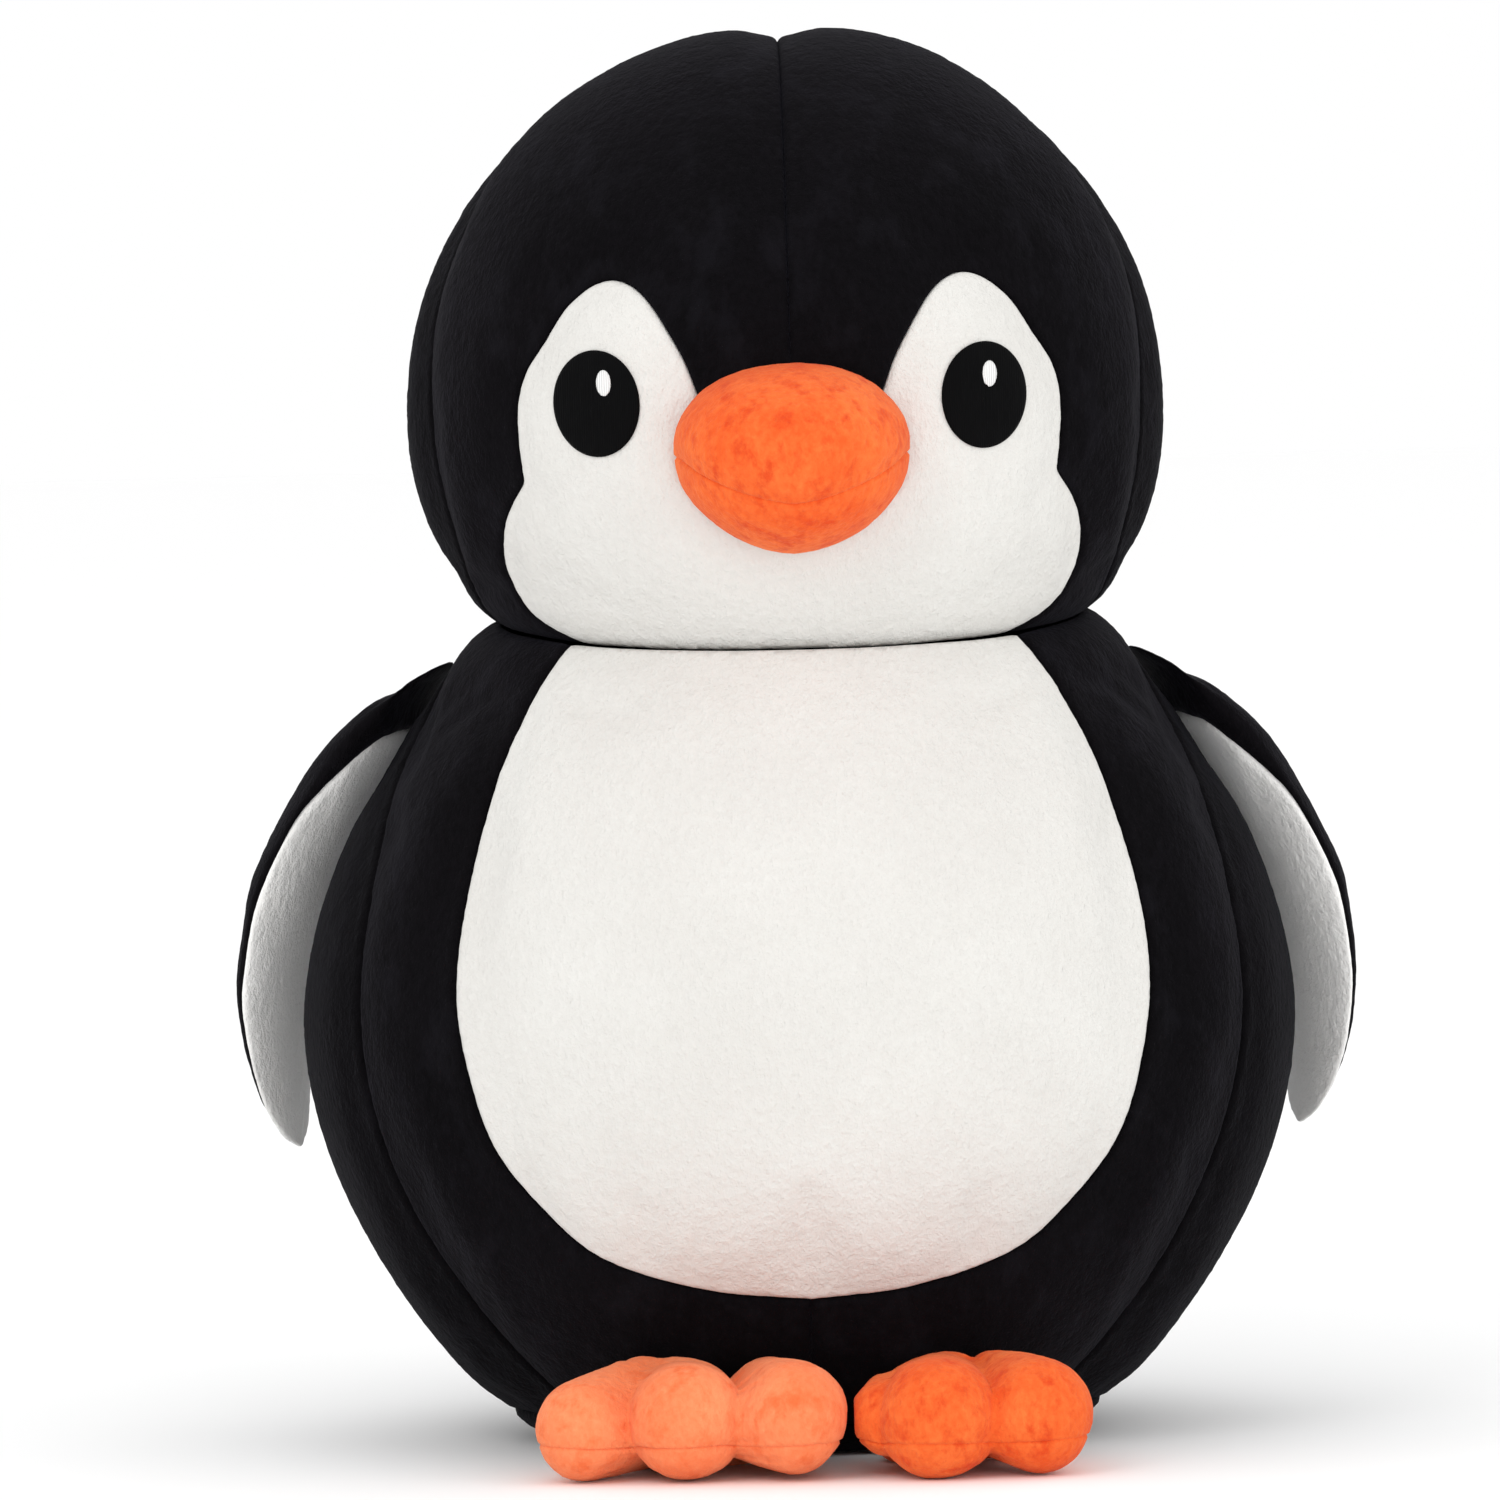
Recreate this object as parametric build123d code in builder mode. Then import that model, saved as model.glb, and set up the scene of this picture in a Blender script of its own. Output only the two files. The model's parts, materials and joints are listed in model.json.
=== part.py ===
from build123d import *
from math import acos, atan, atan2, cos, degrees, hypot, radians, sin, sqrt
import os

os.makedirs("parts", exist_ok=True)

# A stuffed plush penguin that stands on a flat base with its feet in front.
# Millimetres. +Z is up, the penguin faces -Y, and its own left side is +X.
# The origin is the middle of the flat base, on the floor.
#
# Every fabric panel is a shell of one thickness, and fibrefill fills what the
# panels enclose. The neck is a ball in a cup: the head's underside is a ball
# about the neck pivot, so the head can turn and nod without touching the torso.

# ---------------------------------------------------------------- dimensions
FABRIC = 2.0             # thickness of the plush cloth with its pile
GAP = 0.5                # clearance between pieces that move apart

TORSO_HEIGHT = 204.0     # floor to neck crease
TORSO_WIDTH = 248.0
TORSO_DEPTH = 208.0
TORSO_LEVEL = 105.0      # height of the widest part
BASE_WIDTH = 134.0       # flat patch that rests on the floor
BASE_DEPTH = 120.0
SHOULDER_FULLNESS = 1.8  # power of the curve from the widest part to the neck
BASE_SEAM_HEIGHT = 7.0   # the bottom panel turns up to this height

NECK_WIDTH = 150.0
HEAD_WIDTH = 188.0
HEAD_DEPTH = 178.0
HEAD_DROP = 48.0         # widest part of the head down to the neck crease
HEAD_RISE = 98.0         # widest part of the head up to the crown

BELLY_WIDTH = 171.0      # white front panel
BELLY_NECK_WIDTH = 111.0
BELLY_LEVEL = 112.0      # height of its widest part
BELLY_BOTTOM = 40.0

SEAM_RING_HEIGHT = 7.0   # rolled seam allowance inside the neck crease
SEAM_RING_DROP = 7.0     # its top, below the crease
SEAM_RING_EDGE = 2.0     # its thickness at the top

BEAK_WIDTH = 57.0
BEAK_HEIGHT = 47.0
BEAK_REACH = 31.0        # how far it stands out of the face
BEAK_DROP = 1.5          # its middle, below the widest part of the head
BEAK_SEAM_SAG = 13.0     # the seam between its panels hangs down in the middle

EYE_WIDTH = 21.0
EYE_HEIGHT = 26.0
EYE_SPREAD = 97.0        # between the middles of the eyes
EYE_RISE = 11.0          # above the widest part of the head
EYE_STITCH = 0.8         # height of the embroidery over the cloth
SPARK_WIDTH = 3.6        # white highlight in each eye
SPARK_HEIGHT = 6.4
SPARK_RISE = 5.0

WING_LENGTH = 117.0
WING_WIDTH = 50.0
WING_ROOT_WIDTH = 40.0
WING_THICKNESS = 9.0
WING_ROOT_DROP = 21.0    # shoulder seam, below the neck crease
WING_BACKSET = 25.0      # shoulder seam, behind the middle of the torso
WING_STANDOFF = 4.8      # between wing and torso at half its length
WING_TIP_STANDOFF = 1.5

FOOT_HEIGHT = 26.0
FOOT_LENGTH = 55.0       # seam to the tip of the longest toe
FOOT_SEAM_HEIGHT = 8.0   # sole turns up to this height
FOOT_HINGE_RADIUS = 6.0  # rounded heel, about the seam
FOOT_GAP = 1.5           # clearance between the heel and the torso's slope
TOE_LENGTH = 22.0        # from its tip to where the toes join the pad
# Middle, width and setback from the longest toe, for the three toes of each foot.
RIGHT_TOES = [(-54.5, 27.0, 3.0), (-28.0, 28.0, 0.0), (-3.5, 25.0, 1.0)]
LEFT_TOES = [(15.5, 12.0, 6.0), (32.5, 27.0, 0.0), (57.0, 25.0, 3.0)]

PELLET_BAG_WIDTH = 92.0
PELLET_BAG_HEIGHT = 30.0
PELLET_BAG_LIFT = 8.0    # its underside, above the floor

LABEL_LENGTH = 20.0      # sewn-in care label, standing out of the back seam
LABEL_HEIGHT = 18.0
LABEL_THICKNESS = 1.2
LABEL_LEVEL = 42.0

# ------------------------------------------------------------ worked out once
HEAD_LEVEL = TORSO_HEIGHT + HEAD_DROP
DEPTH_SHARE = HEAD_DEPTH / HEAD_WIDTH
NECK_DEPTH = NECK_WIDTH * DEPTH_SHARE
BALL_RADIUS = hypot(NECK_WIDTH / 2, HEAD_DROP)
CUP_RADIUS = BALL_RADIUS + GAP
REACH = TORSO_WIDTH + HEAD_WIDTH + TORSO_HEIGHT   # longer than anything here


def torso_half(level, base, widest, neck):
    """Half of the torso's width or depth at a height, from its three sizes."""
    if level < TORSO_LEVEL:
        share = ((TORSO_LEVEL - level) / TORSO_LEVEL) ** 2
        return (widest - (widest - base) * share) / 2
    rise = (level - TORSO_LEVEL) / (TORSO_HEIGHT - TORSO_LEVEL)
    return (widest - (widest - neck) * rise ** SHOULDER_FULLNESS) / 2


def torso_half_width(level):
    return torso_half(level, BASE_WIDTH, TORSO_WIDTH, NECK_WIDTH)


def torso_half_depth(level):
    return torso_half(level, BASE_DEPTH, TORSO_DEPTH, NECK_DEPTH)


def torso_side(level, y):
    """How far the torso's side is from the middle, at a height and a depth."""
    return torso_half_width(level) * sqrt(1 - (y / torso_half_depth(level)) ** 2)


def write(part, name):
    part.label = name
    export_step(part, f"parts/{name}.step")


def egg(width, level, top, bottom):
    """An upright egg outline in front of the object: two half ellipses."""
    with BuildSketch(Plane.XZ) as outline:
        with BuildLine():
            EllipticalCenterArc((0, level), width / 2, top - level, arc_size=180)
            EllipticalCenterArc((0, level), width / 2, level - bottom, 180, arc_size=180)
        make_face()
    return outline.sketch


def front_column(outline):
    """An outline drawn on XZ, carried forward through everything in front."""
    with BuildPart() as column:
        extrude(outline, amount=REACH)
    return column.part


def seam_zone(points):
    """Everything in front of a side seam, whose (y, z) points run upwards."""
    with BuildPart() as zone:
        with BuildSketch(Plane.YZ):
            with BuildLine():
                Spline(*points)
                top = (points[-1][0], REACH)
                low = (points[0][0], -REACH)
                Polyline(points[-1], top, (-REACH, REACH), (-REACH, -REACH), low, points[0])
            make_face()
        extrude(amount=REACH, both=True)
    return zone.part


# -------------------------------------------------------------- overall forms
LOFT_STEPS = 10          # sections are closest together at the base and the neck


def make_torso_form():
    with BuildPart() as form:
        for step in range(LOFT_STEPS + 1):
            level = TORSO_HEIGHT * (1 - cos(radians(180 * step / LOFT_STEPS))) / 2
            with BuildSketch(Plane.XY.offset(level)):
                Ellipse(torso_half_width(level), torso_half_depth(level))
        loft()
    return form.part


def make_head_form():
    chin_drop = HEAD_DROP / sqrt(1 - (NECK_WIDTH / HEAD_WIDTH) ** 2)
    chin_angle = degrees(acos(NECK_WIDTH / HEAD_WIDTH))
    ball_angle = degrees(atan2(HEAD_DROP, NECK_WIDTH / 2))
    middle = (0, HEAD_LEVEL)
    with BuildPart() as form:
        with BuildSketch(Plane.XZ):
            with BuildLine():
                CenterArc(middle, BALL_RADIUS, -90, 90 - ball_angle)
                EllipticalCenterArc(middle, HEAD_WIDTH / 2, chin_drop, -chin_angle, arc_size=chin_angle)
                EllipticalCenterArc(middle, HEAD_WIDTH / 2, HEAD_RISE, arc_size=90)
                Line((0, HEAD_LEVEL + HEAD_RISE), (0, HEAD_LEVEL - BALL_RADIUS))
            make_face()
        revolve(axis=Axis.Z)
        scale(by=(1, DEPTH_SHARE, 1), about=(0, 0, 0))
    return form.part


def shrunk(form, level, half_size, wall):
    """A copy of a form, smaller all round by a wall, about its widest level."""
    return scale(form, by=1 - wall / half_size, about=(0, 0, level), mode=Mode.PRIVATE)


torso_form = make_torso_form()
head_form = make_head_form()
torso_fill = shrunk(torso_form, TORSO_LEVEL, TORSO_WIDTH / 2, FABRIC)
head_fill = shrunk(head_form, HEAD_LEVEL, HEAD_WIDTH / 2, FABRIC)

ring_top = TORSO_HEIGHT - SEAM_RING_DROP
ring_bottom = ring_top - SEAM_RING_HEIGHT
ring_radius = sqrt(CUP_RADIUS ** 2 - (HEAD_LEVEL - ring_top) ** 2) + SEAM_RING_EDGE

with BuildPart() as neck_cup:
    with Locations((0, 0, HEAD_LEVEL)):
        Sphere(CUP_RADIUS)

with BuildPart() as ring_groove:
    with BuildSketch(Plane.XY.offset(ring_bottom - GAP)):
        Circle(ring_radius + GAP)
    extrude(amount=SEAM_RING_HEIGHT + 2 * GAP)

with BuildPart() as torso_skin:
    add(torso_form)
    add(torso_fill, mode=Mode.SUBTRACT)
    add(neck_cup.part, mode=Mode.SUBTRACT)
    add(ring_groove.part, mode=Mode.SUBTRACT)

with BuildPart() as head_skin:
    add(head_form)
    add(head_fill, mode=Mode.SUBTRACT)
    split(bisect_by=Plane.XY.offset(TORSO_HEIGHT - FABRIC), keep=Keep.TOP)

# ---------------------------------------------------------------------- torso
torso_front = seam_zone([
    (-0.42 * TORSO_DEPTH / 2, 0),
    (-0.43 * TORSO_DEPTH / 2, TORSO_LEVEL),
    (-0.20 * TORSO_DEPTH / 2, (TORSO_LEVEL + 1.3 * TORSO_HEIGHT) / 2.3),
    (0, TORSO_HEIGHT - WING_ROOT_DROP),
    (4.0, TORSO_HEIGHT),
])
belly_share = sqrt(1 - (BELLY_NECK_WIDTH / BELLY_WIDTH) ** 2)
belly_top = BELLY_LEVEL + (TORSO_HEIGHT - BELLY_LEVEL) / belly_share
belly_column = front_column(egg(BELLY_WIDTH, BELLY_LEVEL, belly_top, BELLY_BOTTOM))

with BuildPart() as base_zone:
    with BuildSketch():
        Rectangle(REACH, REACH)
    extrude(amount=BASE_SEAM_HEIGHT)

with BuildPart() as base_panel:
    add(torso_skin.part)
    add(base_zone.part, mode=Mode.INTERSECT)
write(base_panel.part, "base_panel")

with BuildPart() as torso_sides:
    add(torso_skin.part)
    add(base_zone.part, mode=Mode.SUBTRACT)

with BuildPart() as belly_panel:
    add(torso_sides.part)
    add(belly_column, mode=Mode.INTERSECT)
write(belly_panel.part, "belly_panel")

with BuildPart() as torso_front_pair:
    add(torso_sides.part)
    add(torso_front, mode=Mode.INTERSECT)
    add(belly_column, mode=Mode.SUBTRACT)

with BuildPart() as torso_back_pair:
    add(torso_sides.part)
    add(torso_front, mode=Mode.SUBTRACT)


def write_halves(pair, name):
    """A pair of panels, parted at the seam in the middle of the object."""
    for side, keep in (("left", Keep.TOP), ("right", Keep.BOTTOM)):
        with BuildPart() as half:
            add(pair)
            split(bisect_by=Plane.YZ, keep=keep)
        write(half.part, f"{name}_{side}")


write_halves(torso_front_pair.part, "torso_front")
write_halves(torso_back_pair.part, "torso_back")

PELLET_BAG_ROUND = PELLET_BAG_HEIGHT * 0.4
with BuildPart() as pellet_bag:
    with BuildSketch(Plane.XY.offset(PELLET_BAG_LIFT)):
        Circle(PELLET_BAG_WIDTH / 2)
    extrude(amount=PELLET_BAG_HEIGHT)
    fillet(pellet_bag.edges().filter_by(GeomType.CIRCLE), PELLET_BAG_ROUND)
write(pellet_bag.part, "pellet_bag")

with BuildPart() as torso_stuffing:
    add(torso_fill)
    add(neck_cup.part, mode=Mode.SUBTRACT)
    add(ring_groove.part, mode=Mode.SUBTRACT)
    add(pellet_bag.part, mode=Mode.SUBTRACT)
write(torso_stuffing.part, "torso_stuffing")

with BuildPart() as care_label:
    with BuildSketch(Plane.XY.offset(LABEL_LEVEL - LABEL_HEIGHT / 2)):
        with Locations((0, torso_half_depth(LABEL_LEVEL))):
            Rectangle(LABEL_THICKNESS, 2 * LABEL_LENGTH)
    extrude(amount=LABEL_HEIGHT)
    add(torso_form, mode=Mode.SUBTRACT)
write(care_label.part, "care_label")

# ----------------------------------------------------------------------- neck
with BuildPart() as neck_seam:
    with BuildSketch(Plane.XY.offset(ring_bottom)):
        Circle(ring_radius)
    extrude(amount=SEAM_RING_HEIGHT)
    add(neck_cup.part, mode=Mode.SUBTRACT)
write(neck_seam.part, "neck_seam")

# ----------------------------------------------------------------------- head
head_front = seam_zone([
    (-14.0, TORSO_HEIGHT - HEAD_DROP),
    (-20.0, TORSO_HEIGHT),
    (-30.0, HEAD_LEVEL),
    (-12.0, HEAD_LEVEL + 0.5 * HEAD_RISE),
    (24.0, HEAD_LEVEL + HEAD_RISE),
])

# White face panel, as (across, above the widest part of the head): one round
# lobe about each eye, down to a nick, and then one round cheek.
LOBE = [(16.0, 10.0), (28.8, 29.5), (45.0, 39.8), (60.0, 30.0), (69.0, 10.0), (68.2, -11.0)]
CHEEK = [(68.2, -11.0), (74.0, -25.0), (67.5, -41.0), (54.0, -52.0)]


def lifted(points):
    return [(across, HEAD_LEVEL + rise) for across, rise in points]


with BuildSketch(Plane.XZ) as mask_half:
    with BuildLine():
        Spline(*lifted(LOBE))
        Spline(*lifted(CHEEK))
        low = (CHEEK[-1][0], 0)
        Polyline(lifted(CHEEK)[-1], low, (0, 0), (0, lifted(LOBE)[0][1]), lifted(LOBE)[0])
    make_face()

with BuildPart() as mask_column:
    extrude(mask_half.sketch, amount=REACH)
    mirror(about=Plane.YZ)

with BuildPart() as face_mask:
    add(head_skin.part)
    add(mask_column.part, mode=Mode.INTERSECT)
write(face_mask.part, "face_mask")

with BuildPart() as head_front_pair:
    add(head_skin.part)
    add(head_front, mode=Mode.INTERSECT)
    add(mask_column.part, mode=Mode.SUBTRACT)

with BuildPart() as head_back_pair:
    add(head_skin.part)
    add(head_front, mode=Mode.SUBTRACT)
    add(mask_column.part, mode=Mode.SUBTRACT)

write_halves(head_front_pair.part, "head_front")
write_halves(head_back_pair.part, "head_back")

with BuildPart() as head_stuffing:
    add(head_form)
    add(head_skin.part, mode=Mode.SUBTRACT)
write(head_stuffing.part, "head_stuffing")

# ----------------------------------------------------------------------- beak
beak_middle = (0, -HEAD_DEPTH / 2, HEAD_LEVEL - BEAK_DROP)


def beak_form(wall):
    """The beak's outer shape, smaller by a wall, down to the face behind it."""
    sizes = (BEAK_WIDTH / 2 - wall, BEAK_REACH - wall, BEAK_HEIGHT / 2 - wall)
    with BuildPart() as form:
        with Locations(beak_middle):
            Sphere(sizes[0])
        scale(by=tuple(size / sizes[0] for size in sizes), about=beak_middle)
        add(head_form, mode=Mode.SUBTRACT)
    return form.part


with BuildPart() as beak_stuffing:
    add(beak_form(FABRIC))
write(beak_stuffing.part, "beak_stuffing")

with BuildPart() as beak_lower_zone:
    with BuildSketch(Plane.XZ):
        with BuildLine():
            corner, low = (BEAK_WIDTH / 2 + 1, beak_middle[2]), beak_middle[2] - BEAK_HEIGHT
            other = (-corner[0], corner[1])
            ThreePointArc(other, (0, beak_middle[2] - BEAK_SEAM_SAG), corner)
            Polyline(corner, (corner[0], low), (other[0], low), other)
        make_face()
    extrude(amount=REACH)

for name, mode in (("beak_upper", Mode.SUBTRACT), ("beak_lower", Mode.INTERSECT)):
    with BuildPart() as beak_panel:
        add(beak_form(0))
        add(beak_stuffing.part, mode=Mode.SUBTRACT)
        add(beak_lower_zone.part, mode=mode)
    write(beak_panel.part, name)

# ----------------------------------------------------------------------- eyes
with BuildPart() as stitch_skin:
    add(shrunk(head_form, HEAD_LEVEL, HEAD_WIDTH / 2, -EYE_STITCH))
    add(head_form, mode=Mode.SUBTRACT)


def oval_column(across, level, width, height):
    with BuildSketch(Plane.XZ) as oval:
        with Locations((across, level)):
            Ellipse(width / 2, height / 2)
    return front_column(oval.sketch)


eye_level = HEAD_LEVEL + EYE_RISE
for side, sign in (("left", 1), ("right", -1)):
    across = sign * EYE_SPREAD / 2
    eye_column = oval_column(across, eye_level, EYE_WIDTH, EYE_HEIGHT)
    spark_column = oval_column(across, eye_level + SPARK_RISE, SPARK_WIDTH, SPARK_HEIGHT)
    with BuildPart() as eye:
        add(stitch_skin.part)
        add(eye_column, mode=Mode.INTERSECT)
        add(spark_column, mode=Mode.SUBTRACT)
    write(eye.part, f"eye_{side}")
    with BuildPart() as spark:
        add(stitch_skin.part)
        add(spark_column, mode=Mode.INTERSECT)
    write(spark.part, f"eye_highlight_{side}")

# ---------------------------------------------------------------------- wings
# Built on the penguin's left. The wing is a leaf bent into an arc that hangs
# from the shoulder seam and follows the torso's side at a small standoff.
shoulder_level = TORSO_HEIGHT - WING_ROOT_DROP
shoulder_side = torso_side(shoulder_level, WING_BACKSET)
shoulder_fall = torso_side(shoulder_level - 1, WING_BACKSET) - shoulder_side
shoulder_share = torso_half_width(shoulder_level) / torso_half_depth(shoulder_level)
wing_turn = atan(shoulder_share ** 2 * WING_BACKSET / shoulder_side)
hinge_offset = (WING_THICKNESS / 2 + GAP) / cos(atan(shoulder_fall))
wing_hinge = Vector(shoulder_side + hinge_offset, WING_BACKSET, shoulder_level)

outward = Vector(cos(wing_turn), sin(wing_turn), 0)
forward = Vector(sin(wing_turn), -cos(wing_turn), 0)
wing_side_plane = Plane(wing_hinge, x_dir=outward, z_dir=forward)
wing_face_plane = Plane(wing_hinge, x_dir=-forward, z_dir=outward)


def wing_standing(drop, standoff):
    """Where the wing's middle stands, this far down and this clear of the torso."""
    side = torso_side(shoulder_level - drop, WING_BACKSET) + standoff + WING_THICKNESS / 2
    return ((side - wing_hinge.X) / cos(wing_turn), -drop)


wing_middle = wing_standing(WING_LENGTH / 2, WING_STANDOFF)
wing_tip = wing_standing(WING_LENGTH, WING_TIP_STANDOFF)


def wing_form(wall):
    """The wing's outer shape, smaller by a wall all round."""
    root, widest = WING_ROOT_WIDTH / 2 - wall, WING_WIDTH / 2 - wall
    top, tip = WING_THICKNESS, -WING_LENGTH - WING_THICKNESS / 2 + wall
    with BuildPart() as form:
        with BuildSketch(wing_side_plane):
            with BuildLine():
                ThreePointArc((0, 0), wing_middle, wing_tip)
            trace(line_width=WING_THICKNESS - 2 * wall)
            with Locations((0, 0), wing_tip):
                Circle(WING_THICKNESS / 2 - wall)
        extrude(amount=WING_WIDTH, both=True)
        with BuildSketch(wing_face_plane):
            with BuildLine():
                leaf = Spline(
                    (-root, top),
                    (-widest, 0.45 * tip),
                    (-0.85 * widest, 0.78 * tip),
                    (0, tip),
                    (0.85 * widest, 0.78 * tip),
                    (widest, 0.45 * tip),
                    (root, top),
                )
                Line(leaf @ 1, leaf @ 0)
            make_face()
        extrude(amount=TORSO_WIDTH, both=True, mode=Mode.INTERSECT)
    return form.part


with BuildPart() as wing_outer_zone:
    with BuildSketch(wing_side_plane):
        with BuildLine():
            ThreePointArc((0, 0), wing_middle, wing_tip)
            below = (wing_tip[0], wing_tip[1] - WING_WIDTH)
            above = (0, WING_WIDTH)
            Polyline(wing_tip, below, (REACH, below[1]), (REACH, above[1]), above, (0, 0))
        make_face()
    extrude(amount=REACH, both=True)

wing_solid = wing_form(0)
wing_fill = wing_form(FABRIC)

with BuildPart() as wing_skin:
    add(wing_solid)
    add(wing_fill, mode=Mode.SUBTRACT)

with BuildPart() as wing_outer:
    add(wing_skin.part)
    add(wing_outer_zone.part, mode=Mode.INTERSECT)

with BuildPart() as wing_inner:
    add(wing_skin.part)
    add(wing_outer_zone.part, mode=Mode.SUBTRACT)

for name, piece in (("outer", wing_outer.part), ("inner", wing_inner.part), ("stuffing", wing_fill)):
    write(piece, f"wing_left_{name}")
    write(mirror(piece, about=Plane.YZ, mode=Mode.PRIVATE), f"wing_right_{name}")

# ----------------------------------------------------------------------- feet
# Each foot is a padded wedge that hangs on the seam under the torso's front.
torso_lean = torso_half_depth(2 * FOOT_HINGE_RADIUS) - BASE_DEPTH / 2
lean_angle = atan(torso_lean / (2 * FOOT_HINGE_RADIUS))
foot_clear = (FOOT_HINGE_RADIUS + FOOT_GAP) / cos(lean_angle) + FOOT_HINGE_RADIUS * sin(lean_angle)
foot_hinge_y = -(BASE_DEPTH / 2 + foot_clear)
toe_tip_y = foot_hinge_y - FOOT_LENGTH


def foot_form(toes, wall):
    """A foot's outer shape, smaller by a wall all round."""
    top, hinge, low = FOOT_HEIGHT - wall, FOOT_HINGE_RADIUS - wall, wall
    left = min(middle - width / 2 for middle, width, setback in toes) + wall
    right = max(middle + width / 2 for middle, width, setback in toes) - wall
    pad_front = toe_tip_y + TOE_LENGTH + wall
    with BuildPart() as form:
        with BuildSketch():
            with Locations(((left + right) / 2, (pad_front + foot_hinge_y) / 2)):
                Rectangle(right - left, foot_hinge_y - pad_front + 2 * FOOT_HINGE_RADIUS)
            for middle, width, setback in toes:
                with Locations((middle, toe_tip_y + setback + TOE_LENGTH)):
                    Ellipse(width / 2 - wall, TOE_LENGTH - wall)
        extrude(amount=FOOT_HEIGHT)
        with BuildSketch(Plane.YZ):
            with BuildLine():
                front = toe_tip_y + wall
                arch = (foot_hinge_y - 0.45 * FOOT_LENGTH, top)
                heel = (foot_hinge_y + hinge, FOOT_HINGE_RADIUS)
                instep = ThreePointArc(
                    (foot_hinge_y, low),
                    heel,
                    (foot_hinge_y, FOOT_HINGE_RADIUS + hinge),
                )
                Spline(
                    instep @ 1,
                    arch,
                    (front, 0.42 * FOOT_HEIGHT),
                    (front + 0.12 * FOOT_LENGTH, low),
                    tangents=((-1, 0.6), (1, -0.6)),
                )
                Line((front + 0.12 * FOOT_LENGTH, low), (foot_hinge_y, low))
            make_face()
        extrude(amount=REACH, both=True, mode=Mode.INTERSECT)
    return form.part


for side, toes in (("left", LEFT_TOES), ("right", RIGHT_TOES)):
    foot_fill = foot_form(toes, FABRIC)
    write(foot_fill, f"foot_{side}_stuffing")
    for name, keep in (("top", Keep.TOP), ("sole", Keep.BOTTOM)):
        with BuildPart() as foot_panel:
            add(foot_form(toes, 0))
            add(foot_fill, mode=Mode.SUBTRACT)
            split(bisect_by=Plane.XY.offset(FOOT_SEAM_HEIGHT), keep=keep)
        write(foot_panel.part, f"foot_{side}_{name}")

print("neck pivot", (0, 0, HEAD_LEVEL))
print("wing hinge", tuple(wing_hinge), "axis", tuple(-forward))
print("foot hinge", (0, foot_hinge_y, FOOT_HINGE_RADIUS), "toe tip", toe_tip_y)
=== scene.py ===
import json
import math

import bmesh
import bpy
import numpy as np
from mathutils import Matrix, Vector, noise
from mathutils.bvhtree import BVHTree
from mathutils.kdtree import KDTree


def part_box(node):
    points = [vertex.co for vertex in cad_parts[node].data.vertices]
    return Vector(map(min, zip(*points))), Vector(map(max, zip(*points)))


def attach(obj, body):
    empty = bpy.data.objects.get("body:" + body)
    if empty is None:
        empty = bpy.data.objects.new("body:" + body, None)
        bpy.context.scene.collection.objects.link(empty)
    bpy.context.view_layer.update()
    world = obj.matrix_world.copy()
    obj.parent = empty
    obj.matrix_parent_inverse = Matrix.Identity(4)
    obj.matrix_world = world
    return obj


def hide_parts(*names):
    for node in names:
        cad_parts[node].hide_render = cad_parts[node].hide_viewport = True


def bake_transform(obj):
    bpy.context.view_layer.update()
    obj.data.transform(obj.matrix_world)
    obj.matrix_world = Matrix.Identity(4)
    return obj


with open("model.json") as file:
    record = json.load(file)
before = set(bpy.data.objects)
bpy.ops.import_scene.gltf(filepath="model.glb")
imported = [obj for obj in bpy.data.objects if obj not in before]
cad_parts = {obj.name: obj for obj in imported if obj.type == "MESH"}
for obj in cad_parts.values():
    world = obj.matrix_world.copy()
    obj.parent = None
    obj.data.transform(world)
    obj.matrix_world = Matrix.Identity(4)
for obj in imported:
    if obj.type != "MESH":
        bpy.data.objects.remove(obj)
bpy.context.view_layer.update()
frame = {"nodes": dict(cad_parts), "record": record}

# A plush penguin. All working sizes are in millimetres, in the row frame, and
# become metres when a mesh is made. Each stuffed form is a ball of squares
# pushed out to its outline, blown up by the cloth simulation, refined, cut
# along its seams and parted into its sewn panels.

MM = 0.001
nodes, record = frame["nodes"], frame["record"]
joints = {joint["name"]: joint for joint in record["behaviour"]["joints"]}


def box(node):
    """A CAD node's lowest and highest corners, in millimetres."""
    low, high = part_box(node)
    return np.array(low) / MM, np.array(high) / MM


# ------------------------------------------------------------------ main sizes
TORSO_LOW, TORSO_HIGH = box("torso_stuffing")
CREASE = box("torso_back_left")[1][2]          # level of the neck crease
TORSO_LEVEL = 105.0
TORSO_WIDTH = TORSO_HIGH[0] - TORSO_LOW[0] + 4
TORSO_DEPTH = TORSO_HIGH[1] - TORSO_LOW[1] + 4
BASE_WIDTH, BASE_DEPTH = 134.0, 120.0
BASE_ROUND = 7.0                               # radius of the torso's bottom edge
BASE_SEAM = 7.0                                # level of the round bottom panel's seam
NECK_WIDTH, NECK_DEPTH = 150.0, 142.0
NECK_LEVEL = 204.0
PIVOT = joints["neck_nod"]["pos_m"][2] / MM    # also the widest part of the head
HEAD_WIDTH = box("head_stuffing")[1][0] * 2 + 4
HEAD_DEPTH = box("head_stuffing")[1][1] * 2 + 4
HEAD_TOP = 350.0
CHIN_DROP = 48.0                               # from the pivot down to the neck's width
NECK_ROUNDNESS = 0.947                         # the neck ball's depth against its width
TUCK = 6.0                                     # how far above and below the crease cloth rolls in
SEAM_RINGS = (0.0, 0.45, -0.45, 1.2, -1.2, 2.4, -2.4)
PILE_SIZE = 2.6                                # length of one tuft of pile


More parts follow.
